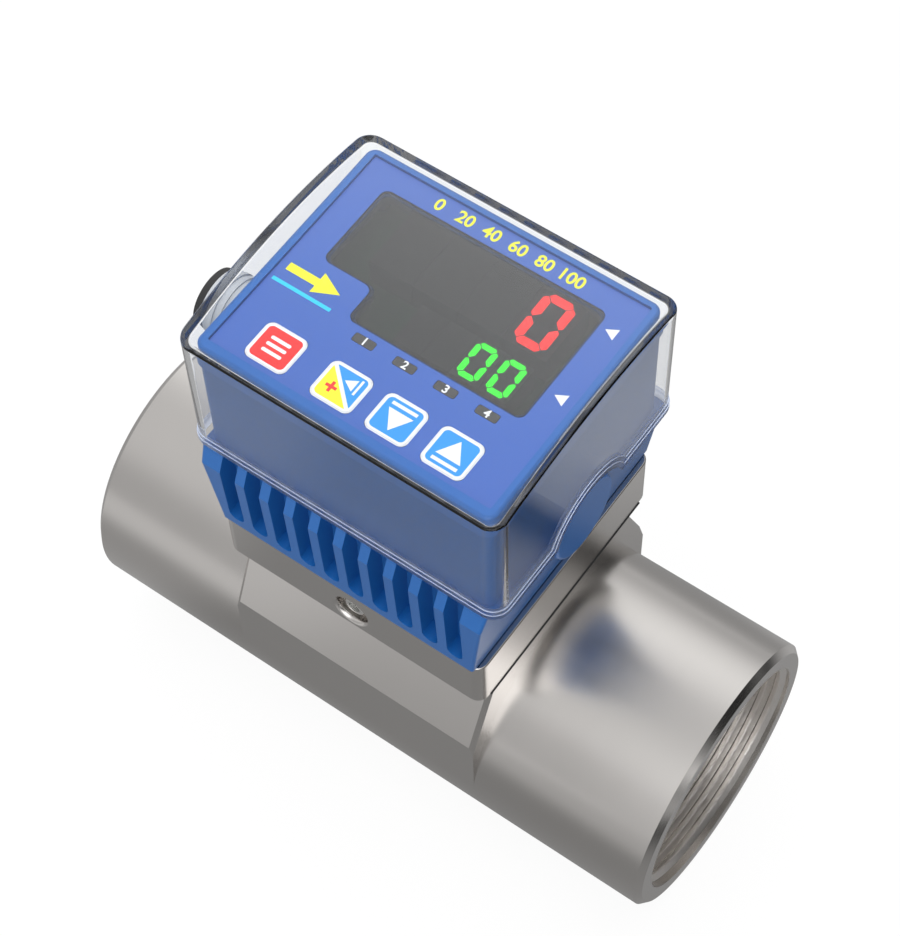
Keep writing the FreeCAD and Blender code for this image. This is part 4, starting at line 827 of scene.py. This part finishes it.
def makeLockScrew():
    low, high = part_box("lock_screw")
    middle = (low + high) / 2
    radius = (high.x - low.x) / 2
    point = lockScrew["pointLength"] * mm
    shank = high.y - low.y - point
    deselectAll()
    bpy.ops.mesh.primitive_cylinder_add(vertices=lockScrew["sides"], radius=radius, depth=shank,
                                        location=(middle.x, low.y + shank / 2, middle.z),
                                        rotation=(math.pi / 2, 0, 0))
    screw = bpy.context.object
    bpy.ops.object.transform_apply(location=False, rotation=True, scale=False)
    pickFaces(screw, lambda face: face.normal.y > lockScrew["squareOn"])
    bpy.ops.mesh.inset(thickness=radius - lockScrew["pointRadius"] * mm)
    bpy.ops.mesh.extrude_region_move(TRANSFORM_OT_translate={"value": (0, point, 0)})
    pickFaces(screw, lambda face: face.normal.y < -lockScrew["squareOn"])
    bpy.ops.mesh.bevel(offset=lockScrew["rim"] * mm, segments=lockScrew["rimSegments"], affect="EDGES")
    deselectAll()
    socketRadius = lockScrew["socketAcross"] / math.sqrt(3) * mm
    bpy.ops.mesh.primitive_cylinder_add(vertices=6, radius=socketRadius,
                                        depth=lockScrew["socketDepth"] * 2 * mm,
                                        location=(middle.x, low.y, middle.z), rotation=(math.pi / 2, 0, 0))
    socket = bpy.context.object
    pickPiece(screw)
    cut = screw.modifiers.new("socket", "BOOLEAN")
    cut.operation = "DIFFERENCE"
    cut.object = socket
    bpy.ops.object.modifier_apply(modifier=cut.name)
    bpy.data.objects.remove(socket)
    bpy.ops.object.shade_smooth_by_angle(angle=math.radians(lockScrew["sharpFrom"]))
    settle(screw, "lock_screw_socket", "meter_body", "fastener")
    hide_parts("lock_screw")


makeLockScrew()
print("lock screw made")


# pale lines along the edges of the cover's lips: painted highlights where the lip edges catch the light


def lipRun(bottom, inset, halfGap):
    # one lip's painted highlight line round the cover, open at the arches
    low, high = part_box("clear_cover")
    width, thick = lips["line"]
    length = (high.x - low.x) / mm - inset * 2
    depth = (high.y - low.y) / mm - inset * 2
    piece = flatRing(length, depth, lips["corner"] - inset, width, 0, 0, bottom)
    for side in (-1, 1):
        selectMesh()
        bpy.ops.mesh.bisect(plane_co=(meterX, halfGap * side * mm, bottom), plane_no=(0, 1, 0))
    pickFaces(piece, lambda face: abs(face.center.y) < halfGap * mm)
    bpy.ops.mesh.delete(type="FACE")
    return raisePlate(piece, thick * mm)


def lipArch(bottom, reach, startX):
    # the same painted highlight line over an arch
    width, thick = lips["line"]
    deselectAll()
    bpy.ops.mesh.primitive_circle_add(vertices=lips["archSteps"], radius=(reach + thick / 2) * mm,
                                      fill_type="NOTHING", location=(startX, 0, lips["archAxis"] * mm),
                                      rotation=(0, math.pi / 2, 0))
    piece = bpy.context.object
    bpy.ops.object.transform_apply(location=False, rotation=True, scale=False)
    bpy.ops.object.mode_set(mode="EDIT")
    selectMesh()
    bpy.ops.mesh.extrude_region_move(TRANSFORM_OT_translate={"value": (width * mm, 0, 0)})
    selectMesh()
    bpy.ops.mesh.bisect(plane_co=(startX, 0, bottom), plane_no=(0, 0, -1), clear_outer=True)
    bpy.ops.object.mode_set(mode="OBJECT")
    wall = piece.modifiers.new("wall", "SOLIDIFY")
    wall.thickness = thick * mm
    wall.offset = 0
    bpy.ops.object.modifier_apply(modifier=wall.name)
    return piece


def makeLipHighlights():
    low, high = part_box("clear_cover")
    width = lips["line"][0]
    lines = []
    for level in (0, 1):
        rise = lips["height"] / 2 * (level + 1)
        bottom = low.z + rise * mm
        reach = lips["archReach"] - lips["height"] + rise
        inset = lips["step"] * level + lips["play"]
        halfGap = math.sqrt(reach ** 2 - (bottom / mm - lips["archAxis"]) ** 2)  # where the arch begins
        lines.append(lipRun(bottom, inset, halfGap))
        lines.append(lipArch(bottom, reach, low.x + inset * mm))
        lines.append(lipArch(bottom, reach, high.x - (inset + width) * mm))
    settle(joinPieces(lines), "cover_lip_highlights", "cover", "lipHighlight")


makeLipHighlights()
print("lip lines made")


# dark strips at the ends of the flange gasket, a little proud of the plate: a painted shadow line under the
# flange's lower edge

gasketShadeLine = {"inside": 39.9, "proud": 0.25, "halfDepth": 34.0, "clear": 0.03}  # mm


def makeGasketShadeLine():
    low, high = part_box("flange_gasket")
    flangeEnd = (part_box("top_flange")[1].x - meterX) / mm
    bottom = low.z + gasketShadeLine["clear"] * mm
    thick = high.z - low.z - gasketShadeLine["clear"] * 2 * mm
    length = flangeEnd + gasketShadeLine["proud"] - gasketShadeLine["inside"]
    middle = gasketShadeLine["inside"] + length / 2
    strips = [cutPlate(rectangle(middle * side, 0, length, gasketShadeLine["halfDepth"] * 2), bottom, thick)
              for side in (-1, 1)]
    settle(joinPieces(strips), "gasket_shade_line", "meter_body", "rubber")


makeGasketShadeLine()
print("gasket ends made")


# threads in the sockets

thread = {
    "pitch": 3.175,  # mm
    "turns": 11,
    "root": 34.35,
    "crest": 32.75,
    "rootWidth": 3.05,
    "crestWidth": 0.45,
    "steps": 72,
    "inset": 0.1,
    "sharpFrom": 40,  # degrees
}


def makeThread():
    deselectAll()
    bpy.ops.mesh.primitive_plane_add(size=2, rotation=(math.pi / 2, 0, 0))
    piece = bpy.context.object
    bpy.ops.object.transform_apply(location=False, rotation=True, scale=False)
    for corner in piece.data.vertices:
        part = "root" if corner.co.z > 0 else "crest"
        corner.co.x *= thread[part + "Width"] / 2 * mm
        corner.co.y = 0
        corner.co.z = thread[part] * mm
    bpy.ops.object.mode_set(mode="EDIT")
    selectMesh()
    bpy.ops.mesh.delete(type="ONLY_FACE")
    bpy.ops.object.mode_set(mode="OBJECT")
    screw = piece.modifiers.new("helix", "SCREW")
    screw.axis = "X"
    screw.angle = math.tau
    screw.screw_offset = thread["pitch"] * mm
    screw.iterations = thread["turns"]
    screw.steps = thread["steps"]
    screw.render_steps = thread["steps"]
    bpy.ops.object.modifier_apply(modifier=screw.name)
    bpy.ops.object.mode_set(mode="EDIT")
    selectMesh()
    bpy.ops.mesh.fill_holes(sides=4)  # caps both ends
    selectMesh()
    bpy.ops.mesh.normals_make_consistent(inside=False)
    bpy.ops.object.mode_set(mode="OBJECT")
    bpy.ops.object.shade_smooth_by_angle(angle=math.radians(thread["sharpFrom"]))
    return piece


inletThread = makeThread()
inletThread.location.x = (thread["rootWidth"] / 2 + thread["inset"]) * mm
outletThread = inletThread.copy()
outletThread.data = inletThread.data.copy()
bpy.context.scene.collection.objects.link(outletThread)
outletThread.rotation_euler.z = math.pi
outletThread.location.x = bodyHigh.x - inletThread.location.x
settle(inletThread, "inlet_thread", "meter_body", "thread")
settle(outletThread, "outlet_thread", "meter_body", "thread")
print("threads cut")


# stage

stageSetup = {
    "reach": 6.0,  # side of the floor, m
    "floorWhite": 0.93,  # share of the floor that stays white to the camera, the rest takes the shadow
    "floorRough": 0.9,
    "floorBounce": (0.4, 0.4, 0.4, 1),
    # the floor as steel mirrors it: metres back, and how light it is there
    "floorReach": (-0.3, 1.0),
    "floorInlet": [(-0.20, 0.54), (-0.12, 0.29), (0.0, 0.30), (0.065, 0.34), (0.2, 0.36), (0.43, 0.42),
                   (1.0, 0.55)],
    "floorOutlet": [(-0.20, 0.54), (-0.12, 0.29), (0.0, 0.33), (0.065, 0.37), (0.085, 0.53), (0.11, 0.55),
                    (0.16, 0.42), (0.20, 0.35), (0.43, 0.22), (1.0, 0.08)],
    "floorBlendX": (0.13, 0.19),  # from the inlet's floor to the outlet's
    "floorNearX": (-0.005, 0.03),  # lighter on the inlet side
    "floorNear": 1.42,
    "floorFadeX": (0.23, 0.36),  # dark a little way off the outlet
    "floorDark": 0.06,
    "floorFarX": (0.42, 0.62),  # light again further off
    "floorFar": 1.3,
    # the sky's light: degrees from overhead to the back, and how light it is there
    "skyReach": (-180, 180),
    "skyInlet": [(-180, 0.4), (-90, 0.51), (-66, 0.53), (-50, 0.72), (-33, 0.77), (0, 0.78), (15, 0.87),
                 (32, 1.15), (48, 1.3), (65, 1.12), (81, 0.68), (97, 0.42), (115, 0.33)],
    "skyOutlet": [(-90, 1.6), (-75, 2.0), (-60, 2.3), (-47, 2.57), (-39, 2.4), (-25, 1.65), (-14, 1.1),
                  (0, 0.87), (18, 0.62), (38, 0.55), (49, 0.47), (59, 0.30), (71, 0.09), (83, 0.05),
                  (95, 0.12)],
    "skyBlendX": (-0.25, 0.25),
    "skyFadeX": (0.5, 0.85),
    "skyDark": 0.03,
    "skyEndX": (0.95, 0.985),  # a pale spot straight off the outlet
    "skyEnd": 0.6,
    "sunLevel": 2.3,
    "sunSpread": 60,
    "sunHeight": 0.9,
    "sunAim": (0.05, -0.1, -1.0),
    "mirroredTwice": 0.3,  # share of light left in a mirror image of a mirror image
    "lightPaths": 10,  # bounces, after which light inside the clear walls ends dark
}


def smoothSpread(tree, value, span, low, high, place):
    # from low to high while the value crosses the named span
    start, end = stageSetup[span]
    stretch = spread(tree, value, low, high, place)
    stretch.node.interpolation_type = "SMOOTHSTEP"
    stretch.node.inputs["From Min"].default_value = start
    stretch.node.inputs["From Max"].default_value = end
    return stretch


def levelRamp(tree, value, reach, stops, place):
    # a grey level for each step of the value
    low, high = stageSetup[reach]
    share = spread(tree, value, 0, 1, place)
    share.node.inputs["From Min"].default_value = low
    share.node.inputs["From Max"].default_value = high
    ramp = addNode(tree, "ShaderNodeValToRGB", (place[0] + 200, place[1]))
    link(tree, share, ramp.inputs["Fac"])
    marks = ramp.color_ramp.elements
    for spare in list(marks)[1:]:
        marks.remove(spare)
    for i, (at, level) in enumerate(stageSetup[stops]):
        position = (at - low) / (high - low)
        mark = marks[0] if i == 0 else marks.new(position)
        mark.position = position
        mark.color = (level, level, level, 1)
    return ramp.outputs["Color"]


def seenDirectly(tree, place):
    # masks of rays that come straight from the camera or through clear walls, and of mirrored ones,
    # with a level that drops for rays mirrored twice inside or behind a clear wall
    rays = addNode(tree, "ShaderNodeLightPath", place).outputs
    either = calculate(tree, "MAXIMUM", rays["Is Camera Ray"], rays["Is Transmission Ray"], place)
    dull = calculate(tree, "GREATER_THAN", rays["Diffuse Depth"], 0.5, place)
    shiny = calculate(tree, "GREATER_THAN", rays["Glossy Depth"], 0.5, place)
    bounced = calculate(tree, "MAXIMUM", dull, shiny, place)
    seen = calculate(tree, "GREATER_THAN", calculate(tree, "SUBTRACT", either, bounced, place), 0.5, place)
    mirrored = calculate(tree, "GREATER_THAN", calculate(tree, "SUBTRACT", shiny, dull, place), 0.5, place)
    twice = calculate(tree, "GREATER_THAN", rays["Glossy Depth"], 1.5, place)
    within = calculate(tree, "GREATER_THAN", rays["Transmission Depth"], 0.5, place)
    lost = calculate(tree, "MINIMUM", twice, within, place)
    return seen, mirrored, spread(tree, lost, 1, stageSetup["mirroredTwice"], place)


def makeFloor():
    deselectAll()
    bpy.ops.mesh.primitive_plane_add(size=stageSetup["reach"], location=(meterX, 0, cadLow.z))
    floor = bpy.context.object
    floor.name = "floor"
    bpy.ops.object.transform_apply(location=True, rotation=False, scale=False)
    material, tree, shader = newMaterial("floorPale")
    shader.inputs["Base Color"].default_value = stageSetup["floorBounce"]
    shader.inputs["Roughness"].default_value = stageSetup["floorRough"]
    shader.inputs["Specular IOR Level"].default_value = 0
    seen, mirrored, level = seenDirectly(tree, (-600, 500))
    white = addNode(tree, "ShaderNodeEmission", (-200, 300))
    paper = addNode(tree, "ShaderNodeBsdfDiffuse", (-200, 200))
    soft = addNode(tree, "ShaderNodeMixShader", (0, 200))
    soft.inputs["Fac"].default_value = 1 - stageSetup["floorWhite"]
    link(tree, white.outputs["Emission"], soft.inputs[1])
    link(tree, paper.outputs["BSDF"], soft.inputs[2])
    place = addNode(tree, "ShaderNodeTexCoord", (-1000, -200))
    split = addNode(tree, "ShaderNodeSeparateXYZ", (-800, -200))
    link(tree, place.outputs["Object"], split.inputs["Vector"])
    along, back = split.outputs["X"], split.outputs["Y"]
    grey = addNode(tree, "ShaderNodeEmission", (-200, -100))
    inlet = levelRamp(tree, back, "floorReach", "floorInlet", (-800, -200))
    outlet = levelRamp(tree, back, "floorReach", "floorOutlet", (-800, -500))
    side = smoothSpread(tree, along, "floorBlendX", 0, 1, (-600, -700))
    link(tree, mixColours(tree, side, inlet, outlet, (-400, -300)), grey.inputs["Color"])
    fade = smoothSpread(tree, along, "floorFadeX", 1, stageSetup["floorDark"], (-600, -500))
    far = smoothSpread(tree, along, "floorFarX", 0, stageSetup["floorFar"], (-600, -900))
    fade = calculate(tree, "MAXIMUM", fade, far, (-400, -700))
    near = smoothSpread(tree, along, "floorNearX", stageSetup["floorNear"], 1, (-600, -1100))
    fade = calculate(tree, "MULTIPLY", fade, near, (-400, -900))
    link(tree, calculate(tree, "MULTIPLY", fade, level, (-400, -500)), grey.inputs["Strength"])
    glossy = addNode(tree, "ShaderNodeMixShader", (200, 0))
    link(tree, mirrored, glossy.inputs["Fac"])
    link(tree, shader.outputs["BSDF"], glossy.inputs[1])
    link(tree, grey.outputs["Emission"], glossy.inputs[2])
    final = addNode(tree, "ShaderNodeMixShader", (400, 100))
    link(tree, seen, final.inputs["Fac"])
    link(tree, glossy.outputs["Shader"], final.inputs[1])
    link(tree, soft.outputs["Shader"], final.inputs[2])
    link(tree, final.outputs["Shader"], tree.nodes["Material Output"].inputs["Surface"])
    floor.data.materials.append(material)


def makeWorld():
    world = bpy.data.worlds.new("studio")
    bpy.context.scene.world = world
    world.use_nodes = True
    tree = world.node_tree
    place = addNode(tree, "ShaderNodeTexCoord", (-1400, 0))
    split = addNode(tree, "ShaderNodeSeparateXYZ", (-1200, 0))
    link(tree, place.outputs["Generated"], split.inputs["Vector"])
    along = split.outputs["X"]
    tilt = calculate(tree, "ARCTAN2", split.outputs["Y"], split.outputs["Z"], (-1000, 0))
    degrees = calculate(tree, "DEGREES", tilt, 0, (-800, 0))
    inlet = levelRamp(tree, degrees, "skyReach", "skyInlet", (-700, 200))
    outlet = levelRamp(tree, degrees, "skyReach", "skyOutlet", (-700, -100))
    side = smoothSpread(tree, along, "skyBlendX", 0, 1, (-700, -400))
    sky = mixColours(tree, side, inlet, outlet, (-300, 0))
    seen, _, level = seenDirectly(tree, (-200, 400))
    fade = smoothSpread(tree, along, "skyFadeX", 1, stageSetup["skyDark"], (-300, -300))
    spot = smoothSpread(tree, along, "skyEndX", 0, stageSetup["skyEnd"], (-300, -500))
    fade = calculate(tree, "MAXIMUM", fade, spot, (-200, -500))
    lamps = addNode(tree, "ShaderNodeMix", (-100, -100), data_type="RGBA", blend_type="MULTIPLY")
    lamps.inputs["Factor"].default_value = 1
    link(tree, sky, lamps.inputs["A"])
    link(tree, calculate(tree, "MULTIPLY", fade, level, (-200, -400)), lamps.inputs["B"])
    final = mixColours(tree, seen, lamps.outputs["Result"], (1, 1, 1, 1), (200, 100))
    link(tree, final, tree.nodes["Background"].inputs["Color"])


def makeSun():
    deselectAll()
    bpy.ops.object.light_add(type="SUN", location=(meterX, 0, stageSetup["sunHeight"]))
    sun = bpy.context.object
    sun.name = "softSun"
    sun.data.energy = stageSetup["sunLevel"]
    sun.data.angle = math.radians(stageSetup["sunSpread"])
    sun.rotation_euler = Vector(stageSetup["sunAim"]).to_track_quat("-Z", "Y").to_euler()
    sun.visible_glossy = False  # no bright disc on the steel
    sun.visible_transmission = False


makeFloor()
makeWorld()
makeSun()
scene = bpy.context.scene
scene.view_settings.view_transform = "Standard"
for limit in ("max_bounces", "glossy_bounces", "transmission_bounces"):
    setattr(scene.cycles, limit, stageSetup["lightPaths"])
print("stage set")
